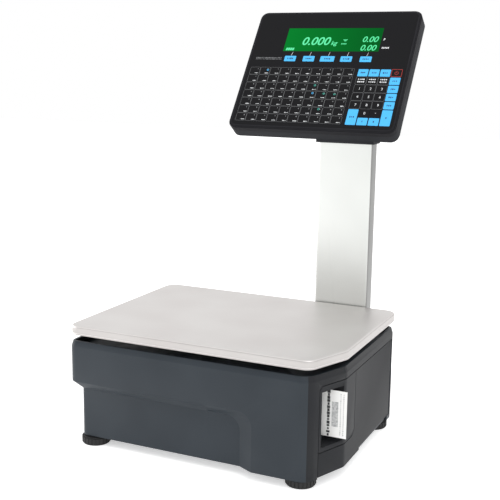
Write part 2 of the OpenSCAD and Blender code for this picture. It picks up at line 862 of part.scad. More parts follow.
function polar(r, a) = r * [cos(a), sin(a)];

module motor_pinion() {
    color("#d8d2c4") difference() {
        translate([motor_c[0], motor_c[1], gear_z]) rotate([0, 0, motor_angle + 180])
            spur_gear(pinion_teeth, gear_t);
        post_at(motor_c, gear_z - 1, gear_z + gear_t + 1, 2 + run);
    }
}

module platen_gear() {
    top = pulley_z + pulley_t + 0.8;
    color("#d8d2c4") difference() {
        union() {
            translate([platen_c[0], platen_c[1], gear_z])
                rotate([0, 0, motor_angle + 180 / platen_teeth]) spur_gear(platen_teeth, gear_t);
            // pulley for the rewind belt, on the same moulding
            post_at(platen_c, gear_z + 1, top, pulley_r);
        }
        post_at(platen_c, gear_z - 1, top + 1, shaft_r);
    }
}

module platen_shaft() {
    color(steel) post_at(platen_c, shelf_z + 0.2, top_plate_z + 4, shaft_r);
}

module platen_roller() {
    color(black_plastic) tube(platen_c, pulley_z + pulley_t + 1.4, top_plate_z - 1.5, platen_r, shaft_r);
}

module print_head() {
    z0 = label_mid_z - label_w / 2 - 2;
    color(alloy) translate([platen_c[0] - 14, label_y - 12, z0]) difference() {
        cube([26, 9, label_w + 4]);
        for (i = [0:3]) translate([3 + i * 6, -1, -1]) cube([3, 6, label_w + 6]);
    }
    color("#e8e4d8") translate([platen_c[0] - 10, label_y - 3 - eps, z0]) cube([18, 2.4, label_w + 4]);
}

// Lever that swings the print head clear of the paper
module head_lever() {
    z0 = label_mid_z - label_w / 2 - 6;
    arm = platen_c[0] + 12 - lever_c[0];
    color(steel) difference() {
        union() {
            for (z = [z0, z0 + label_w + 9]) {
                translate([lever_c[0], label_y - 18, z]) cube([arm, 14, 2]);
                post_at(lever_c, z, z + 2, 9);
            }
            translate([lever_c[0] + 8, label_y - 18, z0]) cube([arm - 8, 2, label_w + 11]);
            // arm of the release handle
            translate([lever_c[0] - 6, lever_c[1], z0 + label_w + 9]) cube([6, 34, 2]);
        }
        post_at(lever_c, 0, 200, lever_pin_r + run);
    }
    color("#2a9d5c") translate([lever_c[0] - 7, lever_c[1] + 30, z0 + label_w - 3]) cube([8, 16, 12]);
}

module lever_pin() {
    color(steel) post_at(lever_c, shelf_z, top_plate_z + 2, lever_pin_r);
}

// Torsion spring round the lever's pin, with one leg on the lever
module head_spring() {
    turns = 9;
    wire = 1.4;
    color(steel) {
        for (i = [0:turns - 1])
            tube(lever_c, 78 + i * wire, 78 + (i + 1) * wire + eps, 5, 3.6);
        translate([lever_c[0], label_y - 19.4, 78]) cube([24, wire, wire]);
    }
}

module peel_bar() {
    color(steel) post_at(peel_c, shelf_top, top_plate_z, peel_r);
}

module guide_posts() {
    color(steel) for (p = guides) {
        post_at(p, shelf_z, top_plate_z - 3, 2);
        post_at(p, shelf_top + 4, top_plate_z - 5, guide_r);
    }
}

module roll_spindle() {
    color(steel) {
        post_at(roll_c, shelf_z - 2, shelf_top + eps, spindle_r - 1);
        post_at(roll_c, shelf_top, label_mid_z + label_w / 2 + 8, spindle_r);
    }
}

module roll_hub() {
    z0 = label_mid_z - label_w / 2;
    color(black_plastic) {
        tube(roll_c, z0 - 2, z0 - 0.2, roll_r - 3, spindle_r + run);
        tube(roll_c, z0 - 0.2 - eps, z0 + label_w + 3, core_r - 0.5, spindle_r + run);
        for (i = [0:2]) translate([roll_c[0], roll_c[1], z0 + label_w + 3 - eps])
            rotate([0, 0, i * 120]) translate([8, -2, 0]) cube([9, 4, 4]);
    }
}

module label_roll() {
    z0 = label_mid_z - label_w / 2;
    color(paper_white) tube(roll_c, z0, z0 + label_w, roll_r, core_r);
}

// Straight run of paper between two round parts: the radius is positive where the
// paper passes on the left of the way it travels, and negative on the right
function run_between(c1, r1, c2, r2) = let(
    d = c2 - c1,
    a = heading(d) + acos((r1 - r2) / norm(d)))
    [c1 + polar(r1, a), c2 + polar(r2, a)];

// Points of the paper as it bends round a part, from one point to the other
function bend_round(c, from, to, way) = let(
    r = norm(from - c),
    a = heading(from - c),
    sweep = way * ((way * (heading(to - c) - a) + 720) % 360))
    [for (i = [0:corner_steps]) c + polar(r, a + sweep * i / corner_steps)];

// Closed outline of a strip of paper along a path
function ribbon(p, t) = let(
    n = len(p),
    side = [for (i = [0:n - 1]) let(v = unit(p[min(i + 1, n - 1)] - p[max(i - 1, 0)])) [v[1], -v[0]]])
    concat([for (i = [0:n - 1]) p[i] + side[i] * t / 2], [for (i = [n - 1:-1:0]) p[i] - side[i] * t / 2]);

roll_run = run_between(roll_c, roll_r + 0.35, guides[0], web_gap);
guide_run = run_between(guides[0], web_gap, guides[1], -web_gap);
nip_in = guides[1] - [0, web_gap];
liner_bar = peel_r + liner_gap;
liner_run = run_between(peel_c, -liner_bar, rewind_c, -rewind_full_r - liner_gap);
web_path = concat([roll_run[0]], bend_round(guides[0], roll_run[1], guide_run[0], -1),
                  bend_round(guides[1], guide_run[1], nip_in, 1));

// Paper web from the roll round the guides, through the print head to the outlet
module label_strip() {
    color(paper_white) translate([0, 0, label_mid_z - label_w / 2]) linear_extrude(label_w)
        polygon(ribbon(concat(web_path, [[label_reach, label_y]]), label_t));
}

// Backing paper from the peel bar to the rewind spool
module liner_strip() {
    color("#e9dfc4") translate([0, 0, label_mid_z - label_w / 2]) linear_extrude(label_w)
        polygon(ribbon(concat(
            bend_round(peel_c, peel_c - [0, liner_bar - 0.2], liner_run[0], 1),
            [liner_run[1]]), label_t / 2));
}

module rewind_spool() {
    z0 = label_mid_z - label_w / 2;
    color(black_plastic) {
        post_at(rewind_c, shelf_z - 2, top_plate_z + 4, shaft_r);
        tube(rewind_c, pulley_z + pulley_t + 0.2, z0 - 0.2, rewind_full_r + 1.5, shaft_r);
        tube(rewind_c, z0 - 0.2 - eps, z0 + label_w, rewind_r, shaft_r);
        tube(rewind_c, pulley_z, pulley_z + pulley_t + 0.2 + eps, rewind_pulley_r, shaft_r);
    }
    color("#e9dfc4") tube(rewind_c, z0 - 0.2, z0 + label_w - 1, rewind_full_r, rewind_r);
}

module belt_plan(extra) {
    hull() {
        translate(platen_c) circle(r = pulley_r + extra);
        translate(rewind_c) circle(r = rewind_pulley_r + extra);
    }
}

module rewind_belt() {
    color(black_plastic) slab(pulley_z + 0.3, pulley_z + pulley_t - 0.3) difference() {
        belt_plan(1.2);
        belt_plan(0.2);
    }
}

module door_pin() {
    color(steel) post_at(hinge, casing_z + 0.5, groove_z + 4, hinge_pin_r);
}

module door_latch() {
    color(black_plastic) difference() {
        translate([right_x - wall - 14, bezel_y - 3, 82]) cube([11, 4, 18]);
        translate([right_x - wall - 12, bezel_y - 4, 88]) cube([6, 6, 6]);
    }
}

// ---- display head ----

module head_plan(inset) {
    r = head_r - inset;
    w = head_w / 2 - inset;
    h = head_h / 2 - inset;
    translate(shell_shift) polygon(round_all([[-w, -h], [w, -h], [w, h], [-w, h]], [r, r, r, r]));
}

module lcd_opening(extra, from, to) {
    translate([-lcd_w / 2 - extra, lcd_v - lcd_h / 2 - extra, from])
        cube([lcd_w + 2 * extra, lcd_h + 2 * extra, to - from]);
}

module key_field(from, to, extra) {
    translate([grid_u0 - extra, grid_v0 - extra, from])
        cube([2 * abs(grid_u0) + 2 * extra, key_grid[1] * key_pitch[1] + 2 * extra, to - from]);
}

module head_front() {
    color(casing_grey) on_head() difference() {
        union() {
            slab(split_w, -2.4) head_plan(0);
            slab(-2.4 - eps, -1) head_plan(0.9);
            slab(-1 - eps, 0) head_plan(2.4);
        }
        slab(split_w - 1, -overlay_t - face_t) head_plan(wall);
        slab(-overlay_t, 1) head_plan(overlay_margin);
        lcd_opening(-3, -10, 1);
        key_field(-10, 1, -1);
    }
}

module head_rear() {
    color(black_plastic) difference() {
        union() {
            on_head() difference() {
                union() {
                    slab(-head_t + 3, split_w) head_plan(0);
                    slab(-head_t + head_edge, -head_t + 3 + eps) head_plan(head_edge);
                    slab(-head_t, -head_t + head_edge + eps) head_plan(3);
                }
                slab(-head_t + wall, split_w + 1) head_plan(wall);
            }
            neck();
        }
        // socket for the top of the post
        translate([post_x - post_w / 2 - 0.3, post_y - 0.3, neck_z - 1])
            cube([post_w + 0.6, post_t + 0.6, post_top - neck_z + 2]);
        on_head() translate([post_x - head_x, cable_v, -head_t - 3]) cylinder(r = 2 * cable_r, h = wall + 6);
        on_head() slab(-head_t - 2, -head_t + 1.5) customer_plan(0.2);
        on_head() slab(-head_t - 2, -head_t + wall + 1) customer_plan(-4);
        on_head() for (p = head_screw_spots) translate([p[0], p[1], -head_t - 1])
            cylinder(r = 1.9, h = 10);
    }
    color(black_plastic) on_head() for (p = head_screw_spots)
        tube(p, -head_t + wall - eps, split_w + 3, 4, 1.6);
}

head_screw_spots = [for (x = [-1, 1], y = [-1, 1])
    shell_shift + [x * (head_w / 2 - 10), y * (head_h / 2 - 10)]];

// Collar behind the head that takes the post
module neck() {
    side = post_w / 2 + neck_wall;
    intersection() {
        translate([post_x - side, post_y - neck_wall - 2, neck_z])
            cube([2 * side, post_t + 2 * neck_wall + 2, 60]);
        // kept behind the shell
        on_head() translate([-300, -300, -200]) cube([600, 600, 200 - head_t + wall]);
    }
}

module customer_plan(extra) {
    translate([-70 - extra, 30 - extra]) square([140 + 2 * extra, 42 + 2 * extra]);
}

module customer_window() {
    color("#0d2a17") on_head() slab(-head_t, -head_t + 1.5) customer_plan(0);
}

module keypad_overlay() {
    color("#26272a") on_head() difference() {
        slab(-overlay_t, 0) head_plan(overlay_margin + 0.2);
        lcd_opening(0, -5, 5);
    }
}

module lcd_panel() {
    color("#0a7a2c") on_head() {
        lcd_opening(-0.15, -overlay_t, -0.1);
        lcd_opening(5, -overlay_t - face_t - 4, -overlay_t - face_t);
        lcd_opening(-3.2, -overlay_t - face_t - eps, -overlay_t + eps);
    }
}

module display_board() {
    color(board_green) on_head() slab(board_w - board_t, board_w)
        translate([-head_w / 2 + 6, -head_h / 2 + 18]) square([head_w - 12, head_h - 36]);
    // frame that backs the keys, with the domes on top
    color("#d9d9d4") on_head() key_field(board_w, -overlay_t - 1, -2);
}

// One snap dome under every key
module key_domes() {
    color(steel) on_head() {
        for (c = [0:key_grid[0] - 1], r = [0:key_grid[1] - 1])
            dome([grid_u0 + (c + 0.5) * key_pitch[0], grid_v0 + (r + 0.5) * key_pitch[1]]);
        for (c = [0:pad_keys[0] - 1], r = [0:pad_keys[1] - 1])
            dome([pad_u0 + (c + 0.5) * pad_pitch, grid_v0 + (r + 0.5) * key_pitch[1]]);
    }
}

module dome(p) {
    post_at(p, -overlay_t - 1, -overlay_t - 0.5, 3);
}

// Steel plate that joins the post to the back of the head
module head_bracket() {
    gap = post_wall + 0.3;
    color(alloy) {
        difference() {
            translate([post_x - post_w / 2 + gap, post_y + gap, post_top - 50])
                cube([post_w - 2 * gap, post_t - 2 * gap, 50]);
            translate([post_x - post_w / 2 + gap + 3, post_y + gap - 1, post_top - 60])
                cube([post_w - 2 * gap - 6, post_t - 2 * gap - 2, 100]);
            for (x = [16, post_w - 16]) translate([post_x - post_w / 2 + x, post_y, post_top - 14])
                rotate([-90, 0, 0]) cylinder(r = 2.1, h = 40);
        }
    }
}

cable_r = 2.2;
cable_y = post_y + 10;
cable_w = -head_t + 2;
cable_v = (cable_y - head_y + cable_w * cos(head_tilt)) / sin(head_tilt);

// Point of the display head, from its place across, up the slope and out of the face
function head_point(u, v, w) = [head_x + u, head_y + v * sin(head_tilt) - w * cos(head_tilt),
                                head_z + v * cos(head_tilt) + w * sin(head_tilt)];

// Straight square bar from one point to another along an axis
module straight_bar(a, b, r) {
    low = [for (i = [0:2]) min(a[i], b[i]) - r];
    high = [for (i = [0:2]) max(a[i], b[i]) + r];
    translate(low) cube(high - low);
}

// Cable from the main board through the post to the display head
module display_cable() {
    r = cable_r;
    u = post_x - head_x;
    stops = [[-98, 190, 44.6 + r], [-98, 190, cable_z], [-98, 268, cable_z], [post_x, 268, cable_z],
             [post_x, cable_y, cable_z], head_point(u, cable_v, cable_w)];
    color(black_plastic) {
        for (i = [0:4]) straight_bar(stops[i], stops[i + 1], r);
        // the plug's end leans with the head
        on_head() translate([u - r + 0.3, cable_v - r + 0.3, cable_w])
            cube([2 * r - 0.6, 2 * r - 0.6, board_w - board_t - cable_w]);
    }
}

at_origin() base_pan();
at_origin() upper_casing();
at_origin() printer_door();
at_origin() outlet_bezel();
at_origin() post_shroud();
at_origin() connector_plate();
at_origin() power_inlet();
at_origin() power_rocker();
at_origin() data_sockets();
at_origin() main_board();
at_origin() power_supply();
at_origin() load_cell();
at_origin() cell_base_block();
at_origin() cell_top_block();
at_origin() platter_frame();
at_origin() platter_pads();
at_origin() platter();
at_origin() overload_stops();
at_origin() spirit_level();
at_origin() foot_front_left();
at_origin() foot_front_right();
at_origin() foot_rear_left();
at_origin() foot_rear_right();
at_origin() foot_nuts();
at_origin() shell_screws();
at_origin() machine_bolts();
at_origin() post();
at_origin() post_bracket();
at_origin() post_screws();
at_origin() printer_frame();
at_origin() frame_pillars();
at_origin() feed_motor();
at_origin() motor_pinion();
at_origin() platen_shaft();
at_origin() platen_roller();
at_origin() platen_gear();
at_origin() print_head();
at_origin() head_lever();
at_origin() lever_pin();
at_origin() head_spring();
at_origin() peel_bar();
at_origin() guide_posts();
at_origin() roll_spindle();
at_origin() roll_hub();
at_origin() label_roll();
at_origin() label_strip();
at_origin() liner_strip();
at_origin() rewind_spool();
at_origin() rewind_belt();
at_origin() door_pin();
at_origin() door_latch();
at_origin() head_front();
at_origin() head_rear();
at_origin() keypad_overlay();
at_origin() lcd_panel();
at_origin() display_board();
at_origin() key_domes();
at_origin() customer_window();
at_origin() head_bracket();
at_origin() display_cable();
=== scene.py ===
# Label printing scale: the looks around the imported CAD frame.
# Everything is in metres, in the frame of the CAD model: +X is the printer's side,
# -Y the operator's side and +Z up.
import math

import bmesh
import bpy
from mathutils import Matrix, Vector


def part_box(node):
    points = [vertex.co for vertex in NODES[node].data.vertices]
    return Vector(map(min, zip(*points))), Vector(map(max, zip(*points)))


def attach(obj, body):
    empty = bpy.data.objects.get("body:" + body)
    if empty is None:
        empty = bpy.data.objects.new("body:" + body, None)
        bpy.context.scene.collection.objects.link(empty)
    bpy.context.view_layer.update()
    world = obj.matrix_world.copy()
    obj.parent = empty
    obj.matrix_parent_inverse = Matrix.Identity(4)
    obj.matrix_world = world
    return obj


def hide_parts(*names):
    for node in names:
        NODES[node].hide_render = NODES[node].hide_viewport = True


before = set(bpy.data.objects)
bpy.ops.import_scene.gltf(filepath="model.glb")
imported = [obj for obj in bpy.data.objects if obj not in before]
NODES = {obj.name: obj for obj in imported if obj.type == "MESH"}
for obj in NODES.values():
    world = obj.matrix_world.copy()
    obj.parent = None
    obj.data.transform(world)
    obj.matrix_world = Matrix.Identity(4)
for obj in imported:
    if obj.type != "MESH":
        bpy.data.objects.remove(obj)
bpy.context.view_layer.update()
MM = 0.001

# The drawing's origin stands at the middle of the platter's front edge.
platter_low, platter_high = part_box("platter")
ORIGIN = Vector(((platter_low.x + platter_high.x) / 2, platter_low.y, 0))


def at(x, y, z):
    """A place given in the millimetres of the drawing."""
    return ORIGIN + Vector((x, y, z)) * MM


# ---------------------------------------------------------------- nodes and materials

def linear(code, strength=1.0):
    """An sRGB hex colour as linear RGBA."""
    values = [int(code[i:i + 2], 16) / 255 for i in (1, 3, 5)]
    mixed = [v / 12.92 if v <= 0.04045 else ((v + 0.055) / 1.055) ** 2.4 for v in values]
    return [v * strength for v in mixed] + [1.0]


def add(tree, kind, inputs=None, **settings):
    """Adds a node: settings are its properties, and inputs maps a socket to a value,
    to a node, or to a pair of a node and the name or number of its output."""
    node = tree.nodes.new(kind)
    for name, value in settings.items():
        setattr(node, name, value)
    for socket, value in (inputs or {}).items():
        target = node.inputs[socket]
        if isinstance(value, bpy.types.Node):
            tree.links.new(value.outputs[0], target)
        elif isinstance(value, tuple) and value and isinstance(value[0], bpy.types.Node):
            tree.links.new(value[0].outputs[value[1]], target)
        else:
            target.default_value = value
    return node


def material(name, build, **sockets):
    """A Principled material: build(tree, place) returns what is linked to its sockets,
    where place gives the Object coordinates; the other sockets are set here."""
    made = bpy.data.materials.new(name)
    made.use_nodes = True
    tree = made.node_tree
    tree.nodes.clear()
    place = add(tree, "ShaderNodeTexCoord")
    linked = build(tree, (place, "Object"))
    values = {key.replace("_", " "): value for key, value in sockets.items()}
    shader = add(tree, "ShaderNodeBsdfPrincipled", {**values, **linked})
    add(tree, "ShaderNodeOutputMaterial", {"Surface": shader})
    return made


def grain(tree, place, size, detail=2.0, stretch=(1, 1, 1)):
    """Noise whose grains have that size in metres, drawn out along the axes."""
    scaled = add(tree, "ShaderNodeMapping", {"Vector": place, "Scale": [1 / (size * s) for s in stretch]})
    return add(tree, "ShaderNodeTexNoise", {"Vector": scaled, "Scale": 1.0, "Detail": detail})


def tone(tree, source, dark, light, low=0.3, high=0.7):
    """A colour ramp from dark to light over a noise."""
    ramp = add(tree, "ShaderNodeValToRGB", {"Fac": source})
    ramp.color_ramp.elements[0].position = low
    ramp.color_ramp.elements[0].color = linear(dark)
    ramp.color_ramp.elements[1].position = high
    ramp.color_ramp.elements[1].color = linear(light)
    return ramp


def span(tree, source, low, high):
    """The noise's value spread between low and high."""
    return add(tree, "ShaderNodeMapRange", {"Value": source, "From Min": 0.3, "From Max": 0.7,
                                            "To Min": low, "To Max": high})


def bump(tree, source, depth):
    return add(tree, "ShaderNodeBump", {"Height": source, "Distance": depth, "Strength": 1.0})


def textured_moulding(dark, light, depth, rough):
    """Spark-eroded ABS: a fine pebble and a faint cloudiness of the pigment."""
    def build(tree, place):
        pebble = grain(tree, place, 1.1 * MM, 3.0)
        cloud = grain(tree, place, 60 * MM, 1.0)
        return {
            "Base Color": tone(tree, cloud, dark, light),
            "Roughness": span(tree, pebble, rough - 0.05, rough + 0.05),
            "Normal": bump(tree, pebble, depth)}
    return build


def brushed(dark, light, stretch, rough, depth):
    """Brushed metal: fine scratches drawn out along one axis."""
    def build(tree, place):
        lines = grain(tree, place, 0.5 * MM, 4.0, stretch)
        cloud = grain(tree, place, 90 * MM, 1.0)
        return {
            "Base Color": tone(tree, cloud, dark, light),
            "Roughness": span(tree, lines, rough - 0.06, rough + 0.06),
            "Normal": bump(tree, lines, depth)}
    return build


def plain(dark, light, size, rough, depth):
    """A plain surface with a small grain and a little variation of colour."""
    def build(tree, place):
        small = grain(tree, place, size, 2.0)
        return {
            "Base Color": tone(tree, small, dark, light),
            "Roughness": span(tree, small, rough - 0.04, rough + 0.04),
            "Normal": bump(tree, small, depth)}
    return build


# Injection-moulded ABS, spark-eroded tool: a dull slate grey with a soft sheen.
casing_abs = material("slate_abs_spark_textured",
                      textured_moulding("#292f35", "#2e343a", 0.03 * MM, 0.42),
                      IOR=1.5, Specular_IOR_Level=0.22)
# Painted light: the faces on the printer's side get the same moulding in a darker tone without the blue, a
# copy of the casing's colour set for how the light falls on that side. The printer's side comes from
# another tool and batch: the same moulding without the blue.
side_painted_light_abs = material("charcoal_abs_painted_side_light",
                    textured_moulding("#242528", "#28292b", 0.03 * MM, 0.5),
                    IOR=1.5, Specular_IOR_Level=0.12)
# Fine-textured black ABS frame of the keypad.
head_abs = material("black_abs_spark_textured", textured_moulding("#222225", "#262629", 0.03 * MM, 0.6),
                    IOR=1.5, Specular_IOR_Level=0.06)
# The same moulding in a darker grey for the back of the head.
rear_abs = material("dark_abs_spark_textured", textured_moulding("#2a2b2e", "#2f3033", 0.03 * MM, 0.6),
                    IOR=1.5, Specular_IOR_Level=0.05)
# Satin stainless sheet: a fine even grain from left to right that blurs what it mirrors.
stainless = material("stainless_sheet_satin", brushed("#d6d2d0", "#dcd9d7", (60, 1, 1), 0.44, 0.003 * MM),
                     Metallic=1.0)
# The rolled edge of the same sheet, its grain stretched, with painted shade: a greyer copy of the sheet's
# colour for the faces that stand upright.
stainless_edge_painted_shade = material("stainless_rolled_edge_painted_shade",
                          brushed("#b4b0ae", "#bbb8b6", (60, 60, 1), 0.42, 0.003 * MM), Metallic=1.0)
# Brushed stainless tube: long upright scratches, in a bright colour kept for the broad faces.
post_steel = material("stainless_tube_brushed", brushed("#d6d8d5", "#dcdedb", (1, 1, 90), 0.36, 0.004 * MM),
                      Metallic=1.0)
# Painted shade: the narrow sides of the tube get a dull mid grey copy of the same steel, darker because of
# how the light falls on them.
post_side_painted_shade_steel = material("stainless_tube_side_painted_shade",
                           brushed("#858584", "#8f8f8e", (1, 1, 90), 0.4, 0.004 * MM), Metallic=1.0)
# Zinc plating over pressed sheet: a faint cloudy spangle.
zinc = material("zinc_plated_sheet", plain("#a9acb0", "#c1c4c6", 9 * MM, 0.35, 0.01 * MM), Metallic=1.0)
# Ground bar: bright, with fine rings round the axis.
ground = material("ground_steel_rod", brushed("#b8b8ba", "#cfcfd0", (1, 1, 20), 0.2, 0.002 * MM),
                  Metallic=1.0)
# Barrel-plated screws: slightly uneven zinc.
screw_zinc = material("zinc_plated_screw", plain("#9fa1a3", "#bcbec0", 1.5 * MM, 0.35, 0.01 * MM),
                      Metallic=1.0)
# Sand-cast aluminium: a rough grey skin.
cast = material("cast_aluminium", plain("#9fa3a5", "#b7babc", 1.2 * MM, 0.55, 0.06 * MM), Metallic=1.0)
# Milled aluminium: cutter lines across the faces.
milled = material("milled_aluminium", brushed("#b9bdc1", "#cdd0d3", (30, 1, 1), 0.28, 0.004 * MM),
                  Metallic=1.0)
# Moulded rubber: almost black and dusty, with a dull bloom.
foot_rubber = material("moulded_rubber", plain("#141415", "#1d1d1e", 0.8 * MM, 0.7, 0.03 * MM), IOR=1.52)
# Soft rubber of the pads and the roller.
pad_rubber = material("soft_rubber", plain("#17171a", "#222225", 0.6 * MM, 0.75, 0.02 * MM), IOR=1.52)
# Glass-filled nylon: black with a faint fibre mottle.
black_nylon = material("glass_filled_nylon", plain("#151517", "#1e1e21", 1.0 * MM, 0.45, 0.02 * MM),
                       IOR=1.53)
# Polished acetal rocker: glossy red.
rocker_red = material("red_acetal_rocker", plain("#a01812", "#ad2018", 3 * MM, 0.22, 0.004 * MM), IOR=1.48)
# Natural acetal: waxy cream.
gear_acetal = material("natural_acetal_gear", plain("#d9d3c3", "#e4dfd2", 2 * MM, 0.35, 0.005 * MM), IOR=1.48)
# Solder mask over glass weave: glossy green with a fine weave.
circuit = material("circuit_board_mask", plain("#145c3a", "#1b6e47", 1.4 * MM, 0.3, 0.02 * MM), IOR=1.5)
# Coated thermal paper: bright white with a soft sheen.
label_paper = material("thermal_label_paper", plain("#eeeeec", "#f6f6f4", 0.5 * MM, 0.45, 0.004 * MM),
                       IOR=1.45)
# Glassine: yellowish and slightly shiny.
liner = material("glassine_liner", plain("#e2d9be", "#ebe3cc", 0.8 * MM, 0.3, 0.004 * MM), IOR=1.45)
# Acrylic vial with a dyed spirit.
vial = material("spirit_level_vial", plain("#a8c93c", "#b6d548", 6 * MM, 0.08, 0.0), IOR=1.49)
# Screen-printed polyester film: black with a fine velvet grain that kills reflections.
film = material("polyester_keypad_film", plain("#161618", "#19191b", 0.7 * MM, 0.5, 0.006 * MM),
                IOR=1.57, Specular_IOR_Level=0.06)
# Domed keys in the same film, printed a shade blacker.
key_film = material("polyester_key_black", plain("#0d0d0f", "#111113", 0.9 * MM, 0.45, 0.006 * MM),
                    IOR=1.57, Specular_IOR_Level=0.1)
# Sky blue screen ink on the function keys.
key_blue = material("screen_ink_sky_blue", plain("#4aaee8", "#52b4ec", 1.5 * MM, 0.5, 0.004 * MM),
                    IOR=1.5, Specular_IOR_Level=0.1)
# Inks of the legends and frames: flat and opaque, with a faintly uneven edge to their colour.
ink_white = material("screen_ink_white", plain("#d6d8da", "#e2e4e6", 0.8 * MM, 0.5, 0.0), IOR=1.5)
ink_dim = material("screen_ink_dim", plain("#57585a", "#626365", 0.8 * MM, 0.5, 0.0), IOR=1.5)
ink_grey = material("screen_ink_grey", plain("#7c7e80", "#8a8c8e", 0.8 * MM, 0.5, 0.0), IOR=1.5)
ink_navy = material("screen_ink_navy", plain("#16365a", "#1b3e66", 0.8 * MM, 0.5, 0.0), IOR=1.5)
ink_teal = material("screen_ink_teal", plain("#2f9c8c", "#38a898", 0.8 * MM, 0.5, 0.0), IOR=1.5)
ink_red = material("screen_ink_red", plain("#8e201c", "#9a2622", 0.8 * MM, 0.5, 0.0), IOR=1.5)
# Thermal print: a soft black that has sunk into the paper.
ink_thermal = material("thermal_print_black", plain("#2c2c2e", "#3a3a3c", 0.4 * MM, 0.6, 0.0), IOR=1.45)
ink_faded = material("thermal_print_faded", plain("#8c8e90", "#9a9c9e", 0.4 * MM, 0.6, 0.0), IOR=1.45)
# Spring steel snap domes.
dome_steel = material("stainless_snap_dome", plain("#bdbdbd", "#d0d0d0", 3 * MM, 0.2, 0.0), Metallic=1.0)
# Smoked acrylic in front of the customer's display.
dark_window = material("smoked_acrylic", plain("#0b1a12", "#0f2117", 20 * MM, 0.07, 0.0), IOR=1.49)
# Selective gold on the socket contacts.
gold_contact = material("gold_flashed_contact", plain("#d8b15a", "#e2bd68", 0.5 * MM, 0.25, 0.0),
                        Metallic=1.0)


def lamp_glow(left, right):
    """Light that is brighter at one end of the window, where the lamp row stands."""
    def build(tree, place):
        across = add(tree, "ShaderNodeSeparateXYZ", {"Vector": place})
        share = add(tree, "ShaderNodeMapRange", {"Value": (across, "X"), "From Min": -0.03, "From Max": 0.13})
        ramp = add(tree, "ShaderNodeValToRGB", {"Fac": share})
        ramp.color_ramp.elements[0].color = linear(left)
        ramp.color_ramp.elements[1].color = linear(right)
        return {"Emission Color": ramp}
    return build


# Edge-lit green liquid crystal: bright at the left, deeper at the right.
lcd_green = material("backlit_liquid_crystal", lamp_glow("#02802c", "#015a1e"), Base_Color=linear("#010d04"),
                     Roughness=0.25, Specular_IOR_Level=0.02, Emission_Strength=1.0)
# Lit segments: pale mint.
lcd_mint = material("lit_crystal_segment", lamp_glow("#6cf7b4", "#5cf0a4"), Base_Color=linear("#0a3018"),
                    Roughness=0.3, Specular_IOR_Level=0.1, Emission_Strength=1.0)

FINISH = {
    casing_abs: ["base_pan", "upper_casing", "post_shroud"],
    side_painted_light_abs: ["printer_door", "outlet_bezel"],
    head_abs: ["head_front"],
    rear_abs: ["head_rear"],
    stainless: ["platter"],
    post_steel: ["post"],
    zinc: ["connector_plate", "post_bracket", "head_bracket", "printer_frame", "overload_stops",
           "head_lever"],
    ground: ["platen_shaft", "lever_pin", "peel_bar", "guide_posts", "roll_spindle", "door_pin",
             "head_spring"],
    screw_zinc: ["foot_nuts", "shell_screws", "machine_bolts", "post_screws"],
    cast: ["platter_frame", "cell_base_block", "cell_top_block", "frame_pillars"],
    milled: ["load_cell", "print_head"],
    foot_rubber: ["foot_front_left", "foot_front_right", "foot_rear_left", "foot_rear_right"],
    pad_rubber: ["platter_pads", "rewind_belt", "platen_roller"],
    black_nylon: ["power_inlet", "data_sockets", "roll_hub", "rewind_spool", "door_latch", "feed_motor",
                  "display_cable"],
    rocker_red: ["power_rocker"],
    gear_acetal: ["motor_pinion", "platen_gear"],
    circuit: ["main_board", "power_supply", "display_board"],
    label_paper: ["label_roll", "label_strip"],
    liner: ["liner_strip"],
    vial: ["spirit_level"],
    film: ["keypad_overlay"],
    dome_steel: ["key_domes"],
    dark_window: ["customer_window"],
    lcd_green: ["lcd_panel"],
}
for finish, names in FINISH.items():
    for name in names:
        node = NODES[name]
        node.data.materials.clear()
        node.data.materials.append(finish)


# ---------------------------------------------------------------- pieces

def piece(name, mesh, body, slot, *replaced, finishes=()):
    """Puts a finished mesh in the scene as a piece of that body."""
    for finish in finishes:
        mesh.materials.append(finish)
    made = bpy.data.objects.new(name, mesh)
    bpy.context.scene.collection.objects.link(made)
    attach(made, body)
    if replaced:
        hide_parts(*replaced)
    return made


def evaluated(carrier):
    """The mesh of a carrier object with its modifiers worked in; the carrier goes."""
    graph = bpy.context.evaluated_depsgraph_get()
    mesh = bpy.data.meshes.new_from_object(carrier.evaluated_get(graph), depsgraph=graph)
    carrier.modifiers.clear()
    bpy.data.objects.remove(carrier)
    return mesh


def joined_mesh(name, shapes, smooth=False):
    """One mesh of many closed shapes, each a pair of points and faces."""
    points, faces = [], []
    for shape_points, shape_faces in shapes:
        first = len(points)
        points += shape_points
        faces += [[first + i for i in face] for face in shape_faces]
    mesh = bpy.data.meshes.new(name)
    mesh.from_pydata(points, [], faces)
    if smooth:
        mesh.shade_smooth()
    return mesh


def block(u0, v0, u1, v1, low, high, slant=0.0):
    """A flat block; slant moves its upper edge sideways."""
    corners = [(u0, v0), (u1, v0), (u1 + slant, v1), (u0 + slant, v1)]
    points = [(u, v, w) for w in (low, high) for u, v in corners]
    return points, [(3, 2, 1, 0), (4, 5, 6, 7), (0, 1, 5, 4), (1, 2, 6, 5), (2, 3, 7, 6), (3, 0, 4, 7)]


def rounded_outline(corners, radii, steps):
    """Points of an outline, counter-clockwise, with each corner rounded by its radius."""
    outline = []
    for i, corner in enumerate(corners):
        before = (Vector(corners[i - 1]) - Vector(corner)).normalized()
        after = (Vector(corners[(i + 1) % len(corners)]) - Vector(corner)).normalized()
        half = before.angle(after) / 2
        middle = Vector(corner) + (before + after).normalized() * radii[i] / math.sin(half)
        start = Vector(corner) + before * radii[i] / math.tan(half) - middle
        end = Vector(corner) + after * radii[i] / math.tan(half) - middle
        turn = (math.atan2(end.y, end.x) - math.atan2(start.y, start.x)) % (2 * math.pi)
        for k in range(steps + 1):
            a = math.atan2(start.y, start.x) + turn * k / steps
            outline.append((middle.x + radii[i] * math.cos(a), middle.y + radii[i] * math.sin(a)))
    return outline


